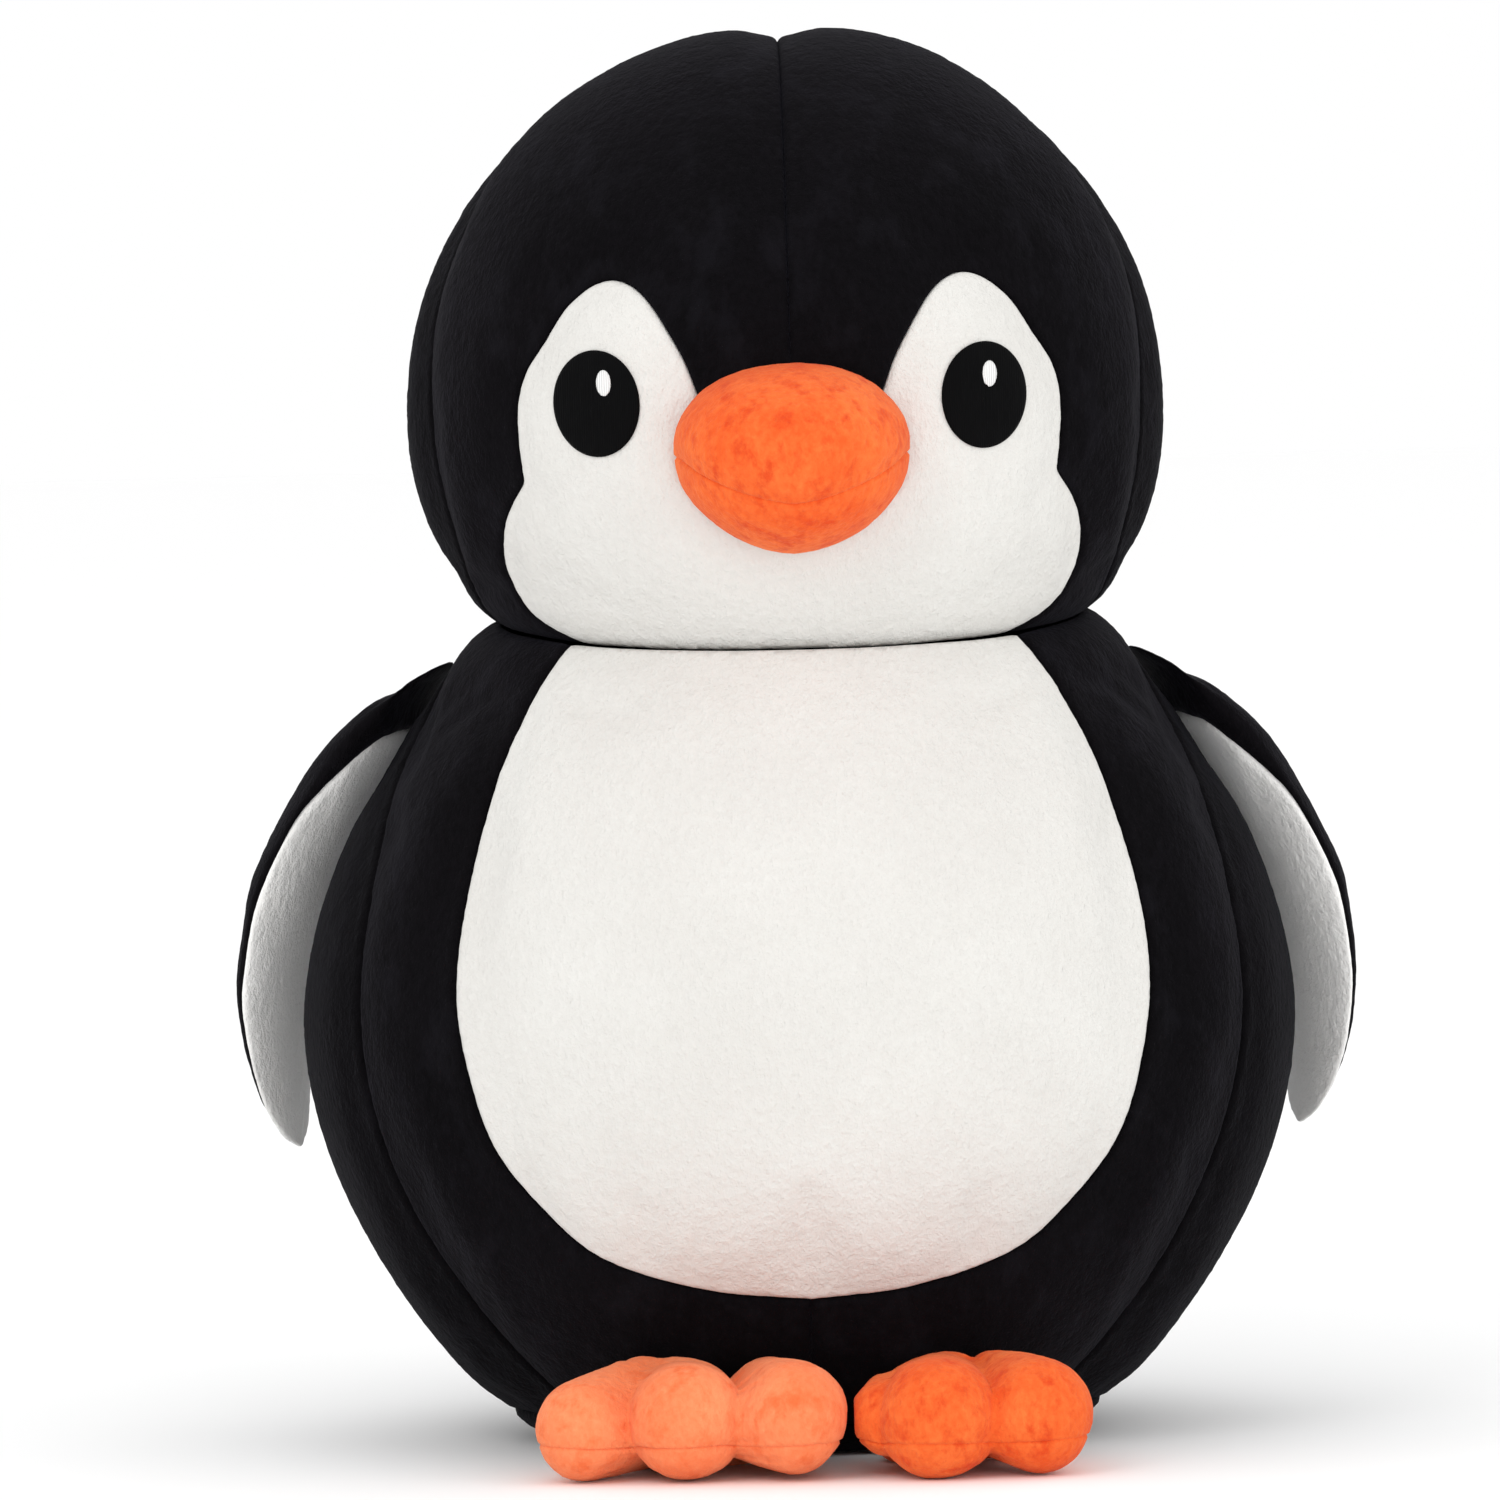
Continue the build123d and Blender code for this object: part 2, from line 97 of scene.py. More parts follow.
# --------------------------------------------------------------------- meshing
def ball(count):
    """Unit directions and quads of a cube, count squares to an edge, swelled to a ball."""
    steps = np.arange(count + 1)
    index, directions, quads = {}, [], []
    for axis in range(3):
        for side in (0, count):
            grid = np.zeros((count + 1, count + 1), int)
            for i in steps:
                for j in steps:
                    key = [0, 0, 0]
                    key[axis], key[(axis + 1) % 3], key[(axis + 2) % 3] = side, int(i), int(j)
                    key = tuple(key)
                    if key not in index:
                        index[key] = len(directions)
                        flat = np.array(key) * 2.0 / count - 1
                        bent = np.tan(flat * math.pi / 4)
                        directions.append(bent / np.linalg.norm(bent))
                    grid[i, j] = index[key]
            for i in range(count):
                for j in range(count):
                    quad = [grid[i, j], grid[i + 1, j], grid[i + 1, j + 1], grid[i, j + 1]]
                    quads.append(quad if side else quad[::-1])
    return np.array(directions), np.array(quads)


def edge_of(inside, origins, directions, far=400.0):
    """Where rays leave a form: the last point inside it, found by halving."""
    within, beyond = np.zeros(len(directions)), np.full(len(directions), far)
    for _ in range(44):
        middle = (within + beyond) / 2
        held = inside(origins + directions * middle[:, None])
        within, beyond = np.where(held, middle, within), np.where(held, beyond, middle)
    return origins + directions * within[:, None]


def mesh_object(name, points, faces):
    mesh = bpy.data.meshes.new(name)
    mesh.from_pydata((np.asarray(points) * MM).tolist(), [], [list(map(int, f)) for f in faces])
    mesh.update()
    obj = bpy.data.objects.new(name, mesh)
    bpy.context.collection.objects.link(obj)
    return obj


def drop(obj):
    mesh = obj.data
    bpy.data.objects.remove(obj)
    bpy.data.meshes.remove(mesh)


def settled(obj):
    """The points and quads of an object as its modifiers leave it."""
    graph = bpy.context.evaluated_depsgraph_get()
    mesh = obj.evaluated_get(graph).to_mesh()
    points = np.zeros(len(mesh.vertices) * 3)
    mesh.vertices.foreach_get("co", points)
    corners = np.zeros(len(mesh.loops), int)
    mesh.loops.foreach_get("vertex_index", corners)
    obj.evaluated_get(graph).to_mesh_clear()
    return points.reshape(-1, 3) / MM, corners.reshape(-1, 4)


def inflate(points, quads, held, tight, cap, pressure=4.0, shrink=0.03):
    """Stuffs a closed cloth form: pressure swells it, held points stay where they are,
    the cloth is drawn up along its seams (tight), and no point moves more than cap.
    What the cloth lost in size overall is given back along its normals."""
    obj = mesh_object("stuffing_run", points, quads)
    for name, weights in (("held", held), ("tight", tight)):
        group = obj.vertex_groups.new(name=name)
        for i in np.nonzero(weights > 0.01)[0]:
            group.add([int(i)], float(min(weights[i], 1)), "REPLACE")
    cloth = obj.modifiers.new("cloth", "CLOTH")
    settings = cloth.settings
    settings.quality = 6
    settings.mass = 0.25
    settings.tension_stiffness = settings.compression_stiffness = 18
    settings.shear_stiffness = 8
    settings.bending_stiffness = 0.4
    settings.use_pressure = True
    settings.uniform_pressure_force = pressure
    settings.effector_weights.gravity = 0
    settings.vertex_group_mass = "held"
    settings.vertex_group_shrink = "tight"
    settings.shrink_min, settings.shrink_max = 0, shrink
    cloth.collision_settings.use_collision = False
    cloth.point_cache.frame_end = 30
    scene = bpy.context.scene
    for frame_number in range(1, 21):
        scene.frame_set(frame_number)
    swelled, _ = settled(obj)
    drop(obj)
    scene.frame_set(1)
    move = swelled - points
    outward = normals_of(points, quads)
    free = held < 0.3
    lost = np.percentile((move[free] * outward[free]).sum(axis=1), 70)
    move -= outward * (lost * (1 - np.clip(held, 0, 1)))[:, None]
    size = np.linalg.norm(move, axis=1)
    return points + move * (np.minimum(size, cap) / np.maximum(size, 1e-9))[:, None]


def refine(points, quads, levels):
    """Smooth subdivision of a quad form."""
    obj = mesh_object("refining", points, quads)
    modifier = obj.modifiers.new("refine", "SUBSURF")
    modifier.levels = levels
    result = settled(obj)
    drop(obj)
    return result


def soft_step(value, low, high):
    t = np.clip((value - low) / (high - low), 0, 1)
    return t * t * (3 - 2 * t)


def smooth_curve(points, count):
    """A natural cubic spline through 2-D or 3-D points, as count points."""
    points = np.array(points, float)
    knots = np.concatenate([[0], np.cumsum(np.linalg.norm(np.diff(points, axis=0), axis=1))])
    n = len(points)
    gap = np.diff(knots)
    system = np.eye(n)
    right = np.zeros_like(points)
    for i in range(1, n - 1):
        before, after = gap[i - 1], gap[i]
        system[i, i - 1], system[i, i], system[i, i + 1] = before, 2 * (before + after), after
        right[i] = 6 * ((points[i + 1] - points[i]) / after - (points[i] - points[i - 1]) / before)
    bend = np.linalg.solve(system, right)
    at = np.linspace(0, knots[-1], count)
    i = np.clip(np.searchsorted(knots, at) - 1, 0, n - 2)
    a, b, h = (knots[i + 1] - at)[:, None], (at - knots[i])[:, None], gap[i][:, None]
    return (
        bend[i] * a**3 / (6 * h)
        + bend[i + 1] * b**3 / (6 * h)
        + (points[i] / h - bend[i] * h / 6) * a
        + (points[i + 1] / h - bend[i + 1] * h / 6) * b
    )


def distances(points, line):
    """Distance from each point to a dense line of points."""
    tree = KDTree(len(line))
    for i, p in enumerate(line):
        tree.insert(p, i)
    tree.balance()
    return np.array([tree.find(p)[2] for p in points])


def divide(mesh, keep, value, near, level):
    """Cuts a mesh along one level of a field, where value holds each point's field.
    Points close to the line are drawn onto it; other crossed edges are divided there."""
    crossed, best = [], {}
    marked = {v for v in near if abs(value[v] - level) < 1e-6}
    for edge in {e for v in near for e in v.link_edges}:
        a, b = edge.verts
        if a not in value or b not in value:
            continue
        first, second = value[a] - level, value[b] - level
        if first * second < 0 and abs(first - second) < 8:
            share = first / (first - second)
            crossed.append((edge, a, share))
            for v, other, part in ((a, b, share), (b, a, 1 - share)):
                if part < 0.3 and (v not in best or part < best[v][0]):
                    best[v] = (part, other, other.co.copy(), other[keep].copy())
    for v, (part, other, place, rest_place) in best.items():
        v.co = v.co.lerp(place, part)
        v[keep] = v[keep].lerp(rest_place, part)
        value[v] = level
        marked.add(v)
    for edge, a, share in crossed:
        b = edge.other_vert(a)
        if a in marked or b in marked:
            continue
        place, rest_place = a.co.lerp(b.co, share), a[keep].lerp(b[keep], share)
        _, new = bmesh.utils.edge_split(edge, a, share)
        new.co, new[keep], value[new] = place, rest_place, level
        marked.add(new)
        near.append(new)
    for face in {f for v in marked for f in v.link_faces}:
        line = [v for v in face.verts if v in marked]
        if len(line) == 2 and not any(line[1] in e.verts for e in line[0].link_edges):
            bmesh.utils.face_split(face, *line)


def seamed(form, fields, rings=SEAM_RINGS):
    """Cuts a form (rest points, shown points, faces) along the zero line of each field,
    and along rings beside it where the field is a seam's."""
    rest, shown, faces = form
    mesh = bmesh.new()
    keep = mesh.verts.layers.float_vector.new("rest")
    verts = [mesh.verts.new(p) for p in shown]
    for v, p in zip(verts, rest):
        v[keep] = p
    for f in faces:
        mesh.faces.new([verts[i] for i in f])
    for field, ringed in fields:
        verts = list(mesh.verts)
        values = field(np.array([v[keep] for v in verts]))
        close = np.nonzero(np.abs(values) < 6)[0]
        near = [verts[i] for i in close]
        value = {v: float(values[i]) for v, i in zip(near, close)}
        for level in rings if ringed else (0.0,):
            divide(mesh, keep, value, near, level)
    mesh.verts.index_update()
    result = (
        np.array([v[keep] for v in mesh.verts]),
        np.array([v.co for v in mesh.verts]),
        [[v.index for v in f.verts] for f in mesh.faces],
    )
    mesh.free()
    return result


def normals_of(points, faces):
    obj = mesh_object("normals_run", points, faces)
    normals = np.zeros(len(points) * 3)
    obj.data.vertices.foreach_get("normal", normals)
    drop(obj)
    return normals.reshape(-1, 3)


def even_seams(points, faces, part_of, rounds=4):
    """Smooths the lines where two panels meet, so that each seam runs evenly."""
    panels_at = {}
    for number, face in zip(part_of, faces):
        for a, b in zip(face, face[1:] + face[:1]):
            panels_at.setdefault((min(a, b), max(a, b)), set()).add(number)
    beside = {}
    for (a, b), numbers in panels_at.items():
        if len(numbers) > 1:
            beside.setdefault(a, []).append(b)
            beside.setdefault(b, []).append(a)
    lines = np.array([(v, *ends) for v, ends in beside.items() if len(ends) == 2])
    middle, before, after = lines.T
    for _ in range(rounds):
        points[middle] = points[middle] * 0.5 + (points[before] + points[after]) * 0.25


def centres_of(points, faces):
    return np.array([points[f].mean(axis=0) for f in faces])


def ripple(points, size, seed):
    """Smooth noise from -1 to 1 at each point; size is its length in millimetres."""
    shift = Vector((seed * 17.3, seed * 5.1, seed * 9.7))
    return np.array([noise.noise(Vector(p) / size + shift) for p in points])


def pile(points, normals, seed, height=0.16):
    """The cloth's short brushed pile, as small tufts that stand along the normals."""
    tufts = ripple(points, PILE_SIZE, seed) + 0.6 * ripple(points, PILE_SIZE * 0.45, seed + 1)
    return points + normals * (tufts * height)[:, None]


def rolled(depth, distance):
    """How far a panel's edge rolls in at a distance from its seam."""
    away = np.clip(distance, 0, depth)
    return depth - np.sqrt(np.maximum(depth**2 - (depth - away) ** 2, 0))


def panel(name, points, all_faces, chosen, hem=3.0):
    """One cloth panel of the chosen faces, with a seam allowance of hem turned in along
    every edge."""
    faces = [all_faces[i] for i in np.nonzero(chosen)[0]]
    used = np.unique(np.concatenate([np.asarray(f) for f in faces]))
    order = np.full(len(points), -1)
    order[used] = np.arange(len(used))
    obj = mesh_object(name, points[used], [[order[i] for i in f] for f in faces])
    mesh = bmesh.new()
    mesh.from_mesh(obj.data)
    mesh.normal_update()
    if hem:
        border = [e for e in mesh.edges if e.is_boundary]
        inward = {v: -v.normal.copy() for e in border for v in e.verts}
        way_at = {tuple(round(c, 7) for c in v.co): way for v, way in inward.items()}
        for v in bmesh.ops.extrude_edge_only(mesh, edges=border)["geom"]:
            if isinstance(v, bmesh.types.BMVert):
                way = way_at.get(tuple(round(c, 7) for c in v.co))
                if way:
                    v.co += way * hem * MM
    mesh.to_mesh(obj.data)
    mesh.free()
    obj.data.polygons.foreach_set("use_smooth", [True] * len(obj.data.polygons))
    return obj


# ------------------------------------------------------------------- materials
def tree_of(name):
    material = bpy.data.materials.new(name)
    material.use_nodes = True
    tree = material.node_tree
    return material, tree, tree.nodes["Principled BSDF"]


def plush(name, low, high, mark, sheen, tint, marks=0.35, scale=1.0, gloss=0.18):
    """Short-pile cloth: tufts, brushed marks where the pile lies another way, and sheen. A mark lighter
    than the cloth is painted sheen, where the pile catches the light.
    """
    material, tree, shader = tree_of(name)
    make, link = tree.nodes.new, tree.links.new
    place = make("ShaderNodeTexCoord")
    along = make("ShaderNodeMapping")
    along.inputs["Scale"].default_value = (1.0, 1.0, 0.7)
    link(place.outputs["Object"], along.inputs["Vector"])

    def noise_at(size, detail, rough, source=along.outputs["Vector"]):
        node = make("ShaderNodeTexNoise")
        node.inputs["Scale"].default_value = 1.0 / (size * MM)
        node.inputs["Detail"].default_value = detail
        node.inputs["Roughness"].default_value = rough
        link(source, node.inputs["Vector"])
        return node

    def bump_of(noise_node, strength, distance):
        node = make("ShaderNodeBump")
        node.inputs["Strength"].default_value = strength
        node.inputs["Distance"].default_value = distance
        link(noise_node.outputs["Fac"], node.inputs["Height"])
        return node

    broad = noise_at(46.0 * scale, 2.0, 0.5, place.outputs["Object"])
    brushed = noise_at(9.0 * scale, 4.0, 0.62)
    tufts = noise_at(1.7, 3.0, 0.6)
    fibres = noise_at(0.55, 2.0, 0.6)
    ramp = make("ShaderNodeValToRGB")
    ramp.color_ramp.elements[0].position, ramp.color_ramp.elements[1].position = 0.38, 0.66
    ramp.color_ramp.elements[0].color = (*low, 1)
    ramp.color_ramp.elements[1].color = (*high, 1)
    shade = make("ShaderNodeMath")
    shade.operation = "MULTIPLY_ADD"
    shade.inputs[1].default_value = 0.55
    link(broad.outputs["Fac"], shade.inputs[0])
    # The tufts also colour the cloth, lighter where the bump raises them and darker between them:
    # painted shade between the tufts.
    tuft_share = make("ShaderNodeMath")
    tuft_share.operation = "MULTIPLY"
    tuft_share.inputs[1].default_value = 0.45
    link(tufts.outputs["Fac"], tuft_share.inputs[0])
    link(tuft_share.outputs[0], shade.inputs[2])
    link(shade.outputs[0], ramp.inputs["Fac"])
    spots = make("ShaderNodeMapRange")
    spots.inputs["From Min"].default_value, spots.inputs["From Max"].default_value = 0.52, 0.68
    spots.inputs["To Max"].default_value = marks
    link(brushed.outputs["Fac"], spots.inputs["Value"])
    blend = make("ShaderNodeMix")
    blend.data_type = "RGBA"
    blend.inputs["B"].default_value = (*mark, 1)
    link(spots.outputs["Result"], blend.inputs["Factor"])
    link(ramp.outputs["Color"], blend.inputs["A"])
    link(blend.outputs["Result"], shader.inputs["Base Color"])
    shader.inputs["Roughness"].default_value = 0.92
    shader.inputs["Specular IOR Level"].default_value = gloss
    shader.inputs["Sheen Weight"].default_value = sheen
    shader.inputs["Sheen Roughness"].default_value = 0.42
    shader.inputs["Sheen Tint"].default_value = (*tint, 1)
    fine = bump_of(fibres, 0.55, 0.0005)
    coarse = bump_of(tufts, 0.6, 0.0011)
    link(fine.outputs["Normal"], coarse.inputs["Normal"])
    link(coarse.outputs["Normal"], shader.inputs["Normal"])
    return material


def thread(name, colour, roughness, spacing=0.55):
    """Satin-stitch embroidery: close upright threads with a slight gloss."""
    material, tree, shader = tree_of(name)
    make, link = tree.nodes.new, tree.links.new
    place = make("ShaderNodeTexCoord")
    wave = make("ShaderNodeTexWave")
    wave.bands_direction = "X"
    wave.inputs["Scale"].default_value = 0.314 / (spacing * MM)
    wave.inputs["Distortion"].default_value = 1.2
    wave.inputs["Detail"].default_value = 2.0
    wave.inputs["Detail Scale"].default_value = 0.6
    link(place.outputs["Object"], wave.inputs["Vector"])
    # The threads are darker between their ridges, where the bump sinks: painted shade in the grooves
    # between the threads.
    shade = make("ShaderNodeMix")
    shade.data_type = "RGBA"
    shade.inputs["A"].default_value = (*[c * 0.7 for c in colour], 1)
    shade.inputs["B"].default_value = (*colour, 1)
    link(wave.outputs["Fac"], shade.inputs["Factor"])
    link(shade.outputs["Result"], shader.inputs["Base Color"])
    shader.inputs["Roughness"].default_value = roughness
    bump = make("ShaderNodeBump")
    bump.inputs["Strength"].default_value = 0.5
    bump.inputs["Distance"].default_value = 0.0002
    link(wave.outputs["Fac"], bump.inputs["Height"])
    link(bump.outputs["Normal"], shader.inputs["Normal"])
    return material


# Darkest and lightest shade, the colour of the brushed marks, sheen and its tint.
# The black plush's lighter patches and bluish-grey brushed marks are painted sheen where the pile
# catches the light, laid at random like pile brushed another way.
BLACK = plush(
    "black_plush", (0.0014, 0.0011, 0.0016), (0.0036, 0.0029, 0.0040), (0.0085, 0.0078, 0.0105),
    0.022, (0.62, 0.60, 0.85), marks=0.4, scale=1.5, gloss=0.07)
# A darker copy of the black plush for the back and base panels, which face away from the lamps: painted
# shade. Its bluish brushed marks are painted sheen, as on the black plush.
BLACK_SHADED = plush(
    "black_plush_back_shaded", (0.0012, 0.0010, 0.0014), (0.0030, 0.0025, 0.0033), (0.0066, 0.0060, 0.0080),
    0.02, (0.6, 0.60, 0.80), marks=0.4, scale=1.5, gloss=0.06)
WHITE = plush(
    "white_plush", (0.675, 0.66, 0.63), (0.72, 0.71, 0.68), (0.66, 0.645, 0.61),
    0.10, (1, 1, 1), marks=0.25)
# A brighter copy of the white plush for the wings' inner panels: painted light, so that the inner sides,
# which face the torso and catch little of the lamps, show as bright as lit white cloth.
WING_WHITE_PAINTED_LIGHT = plush(
    "wing_white_plush_painted_light", (0.90, 0.89, 0.87), (0.95, 0.94, 0.925), (0.88, 0.87, 0.84),
    0.8, (1, 1, 1), marks=0.25)
ORANGE = plush(
    "orange_plush", (0.80, 0.105, 0.018), (0.90, 0.19, 0.042), (0.68, 0.050, 0.008),
    0.10, (1.0, 0.78, 0.6), marks=0.75, scale=0.55)
PEACH = plush(
    "peach_plush", (0.88, 0.205, 0.075), (0.96, 0.30, 0.13), (0.80, 0.12, 0.025),
    0.12, (1.0, 0.8, 0.65), marks=0.6, scale=0.6)
PELLET_CLOTH = plush(
    "pellet_cloth", (0.5, 0.49, 0.46), (0.6, 0.59, 0.56), (0.45, 0.44, 0.41), 0.1, (1, 1, 1))
BLACK_THREAD = thread("black_thread", (0.0012, 0.0012, 0.0015), 0.8)
BLACK_THREAD.node_tree.nodes["Principled BSDF"].inputs["Specular IOR Level"].default_value = 0.08
WHITE_THREAD = thread("white_thread", (0.88, 0.88, 0.87), 0.5)
TAPE = thread("label_tape", (0.82, 0.82, 0.80), 0.6, 0.35)


def dress(obj, material, slot, body, *replaced, fill=None):
    """Gives a piece its material and its body, and hides the CAD nodes it stands for. The slot and fill
    arguments are not used.
    """
    obj.data.materials.clear()
    obj.data.materials.append(material)
    if body:
        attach(obj, body)
    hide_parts(*replaced)
    return obj


# ----------------------------------------------------------------- torso forms
def torso_size(level, base, widest, neck):
    """Half the torso's width or depth at a level, from its sizes at base, middle and neck."""
    under = np.clip((TORSO_LEVEL - level) / TORSO_LEVEL, 0, 1) ** 2
    over = np.clip((level - TORSO_LEVEL) / (NECK_LEVEL - TORSO_LEVEL), 0, 2) ** 1.8
    lower, upper = widest - (widest - base) * under, widest - (widest - neck) * over
    half = np.where(level < TORSO_LEVEL, lower, upper) / 2
    low = np.clip(BASE_ROUND - level, 0, BASE_ROUND)
    return np.maximum(half - (BASE_ROUND - np.sqrt(BASE_ROUND**2 - low**2)), 0.5)


def in_torso(p):
    level = p[:, 2]
    across = torso_size(level, BASE_WIDTH, TORSO_WIDTH, NECK_WIDTH)
    deep = torso_size(level, BASE_DEPTH, TORSO_DEPTH, NECK_DEPTH)
    return (level > 0.2) & (level < 262) & ((p[:, 0] / across) ** 2 + (p[:, 1] / deep) ** 2 < 1)


def in_head(p):
    """A dome above the pivot, cheeks below it, and under them the ball of the neck."""
    rise = p[:, 2] - PIVOT
    chin = CHIN_DROP / math.sqrt(1 - (NECK_WIDTH / HEAD_WIDTH) ** 2)
    radius = math.hypot(NECK_WIDTH / 2, CHIN_DROP)
    flat = (p[:, 0] / (HEAD_WIDTH / 2)) ** 2 + (p[:, 1] / (HEAD_DEPTH / 2)) ** 2
    dome = flat ** 1.03 + np.clip(rise, 0, None) ** 2.06 / (HEAD_TOP - PIVOT) ** 2.06 < 1
    cheek = flat + (rise / chin) ** 2 < 1
    neck_depth = radius * NECK_ROUNDNESS
    neck = (p[:, 0] / radius) ** 2 + (p[:, 1] / neck_depth) ** 2 + (rise / radius) ** 2 < 1
    return np.where(rise > 0, dome, np.where(rise > -CHIN_DROP, cheek, neck))


def face_line(inside, x, z, way=-1.0):
    """A line on a form's front (way -1) or back (way 1), over x and z."""
    origins = np.stack([x, np.zeros(len(x)), z], axis=1)
    return edge_of(inside, origins, np.tile([0.0, way, 0.0], (len(x), 1)))


def flank_line(inside, y, z, way):
    """A line on a form's side, over y and z; way is 1 for its left."""
    origins = np.stack([np.zeros(len(y)), y, z], axis=1)
    return edge_of(inside, origins, np.tile([way, 0.0, 0.0], (len(y), 1)))


def crease_rise(p):
    """Height above the neck crease, which dips a little in front."""
    return p[:, 2] - (CREASE - 0.5 + 0.03 * p[:, 1])


def crease_depth(p):
    """The crease is deep between the black panels and shallow between chin and belly."""
    return 0.62 - 0.52 * soft_step(-p[:, 1], 32, 60)


def in_outline(x, z, outline):
    """Whether points are inside a closed outline of (x, z) points."""
    held = np.zeros(len(x), bool)
    for (x1, z1), (x2, z2) in zip(outline, np.roll(outline, -1, axis=0)):
        between = (z1 > z) != (z2 > z)
        if between.any():
            reach = x1 + (z - z1) * (x2 - x1) / (z2 - z1 if z2 != z1 else 1e-9)
            held ^= between & (x < reach)
    return held


def build_skin(inside, centre, count, held_of, seams, cap):
    """The blown, refined form of a stuffed body: (rest points, shown points, faces)."""
    directions, quads = ball(count)
    origin = np.tile(np.array(centre, float), (len(directions), 1))
    rest = edge_of(inside, origin, directions)
    near_seam = distances(rest, np.concatenate(seams))
    blown = inflate(rest, quads, held_of(rest), np.exp(-((near_seam / 7) ** 2)), cap)
    fine_rest, faces = refine(rest, quads, 2)
    fine_blown, _ = refine(blown, quads, 2)
    return fine_rest, fine_blown, faces


def tuck_in(rest, shown, beyond):
    """Draws cloth near the neck crease inwards, where beyond is each point's distance from it."""
    tuck = rolled(TUCK, np.clip(beyond, 0, TUCK)) * crease_depth(rest)
    flat = shown[:, :2] / np.maximum(np.linalg.norm(shown[:, :2], axis=1), 1e-6)[:, None]
    shown[:, :2] -= flat * tuck[:, None]


# ---------------------------------------------------------------- torso panels
side_curve = smooth_curve(
    [(-44.0, 0), (-45.0, 80), (-42.0, 115), (-36.0, 135), (-20.0, 160), (0.0, 183), (5.0, 216)], 700)


def side_line(z):
    """How far back the torso's side seams run, by level."""
    order = np.argsort(side_curve[:, 1])
    return np.interp(z, side_curve[order, 1], side_curve[order, 0])


belly_half = smooth_curve(
    [(0, 40), (17.5, 41.8), (41.8, 48.5), (54, 54.5), (67.8, 66.4), (77, 79), (82.8, 97), (85.7, 115.6),
     (84.3, 134), (80, 152.4), (71, 176), (56, 200.3), (50, 209)], 900)
belly_half[:, 0] *= 1.03                        # its edge rolls in under the black panels
belly_outline = np.concatenate([belly_half, [(0, 209)]])
side_levels = np.linspace(2, 212, 500)
turn = np.linspace(0, 2 * math.pi, 900, endpoint=False)

torso_seams = {
    "belly_left": face_line(in_torso, belly_half[:, 0], belly_half[:, 1]),
    "belly_right": face_line(in_torso, -belly_half[:, 0], belly_half[:, 1]),
    "side_left": flank_line(in_torso, side_line(side_levels), side_levels, 1.0),
    "side_right": flank_line(in_torso, side_line(side_levels), side_levels, -1.0),
    "front": face_line(in_torso, np.zeros(120), np.linspace(0.5, 40, 120)),
    "back": face_line(in_torso, np.zeros(500), np.linspace(0.5, 206, 500), 1.0),
    "base": edge_of(
        in_torso,
        np.tile([0.0, 0.0, BASE_SEAM], (len(turn), 1)),
        np.stack([np.cos(turn), np.sin(turn), np.zeros(len(turn))], axis=1),
    ),
}
torso_form = build_skin(
    in_torso, (0, 0, TORSO_LEVEL), 38,
    lambda p: np.maximum(soft_step(-p[:, 2], -9, -3), soft_step(crease_rise(p), -14, -3)),
    list(torso_seams.values()), 3.5,
)


def signed(lines, sign_of):
    """A field: distance to the lines, below zero on one side."""
    line = np.concatenate(lines)
    return lambda p: distances(p, line) * sign_of(p)


def belly_sign(p):
    held = in_outline(np.abs(p[:, 0]), p[:, 2], belly_outline) & (p[:, 1] < 0)
    return np.where(held, -1.0, 1.0)


def front_sign(p):
    return np.where(p[:, 1] < side_line(p[:, 2]), -1.0, 1.0)


torso_form = seamed(torso_form, [
    (signed([torso_seams["belly_left"], torso_seams["belly_right"]], belly_sign), True),
    (signed([torso_seams["side_left"], torso_seams["side_right"]], front_sign), True),
    (lambda p: p[:, 0], True),
    (lambda p: p[:, 2] - BASE_SEAM, True),
    (crease_rise, False),
])


def relief(form, seams, depths, seed):
    """Rolls the panels in at their seams (2 mm where depths says nothing), makes the
    stuffing a little uneven and raises the pile."""
    rest, shown, faces = form
    normals = normals_of(shown, faces)
    sunk = np.zeros(len(rest))
    for name, line in seams.items():
        sunk = np.maximum(sunk, rolled(depths.get(name, 2.0), distances(rest, line)))
    shown = shown - normals * sunk[:, None]
    shown = shown + normals * (0.7 * ripple(rest, 38.0, seed))[:, None]
    return rest, pile(shown, normals, seed), faces


rest, shown, faces = relief(
    torso_form, torso_seams, {"side_left": 2.6, "side_right": 2.6, "base": 2.4}, 1)
tuck_in(rest, shown, -crease_rise(rest))
shown[:, 2] = np.maximum(shown[:, 2], 0.0)
middles = centres_of(rest, faces)
where = {
    "above": crease_rise(middles) > 0,
    "base": middles[:, 2] < BASE_SEAM,
    "belly": belly_sign(middles) < 0,
    "front": front_sign(middles) < 0,
    "left": middles[:, 0] > 0,
}
part_of = np.select(
    [where["above"], where["base"], where["belly"],
     where["front"] & where["left"], where["front"], where["left"]],
    [0, 1, 2, 3, 4, 5], 6)
even_seams(shown, faces, part_of)
# The base and back panels take the darker copy of the black plush: painted shade.
TORSO_PANELS = (
    ("base_panel", BLACK_SHADED, "black_plush"),
    ("belly_panel", WHITE, "white_plush"),
    ("torso_front_left", BLACK, "black_plush"),
    ("torso_front_right", BLACK, "black_plush"),
    ("torso_back_left", BLACK_SHADED, "black_plush"),
    ("torso_back_right", BLACK_SHADED, "black_plush"),
)
for number, (name, material, slot) in enumerate(TORSO_PANELS, 1):
    cloth = panel(name + "_cloth", shown, faces, part_of == number)
    if name == "base_panel":
        dress(cloth, material, slot, "torso", name, fill=0.9)
        continue
    extra = ("torso_stuffing",) if name == "belly_panel" else ()
    dress(cloth, material, slot, None, name, *extra, fill=0.95)
    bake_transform(cloth)

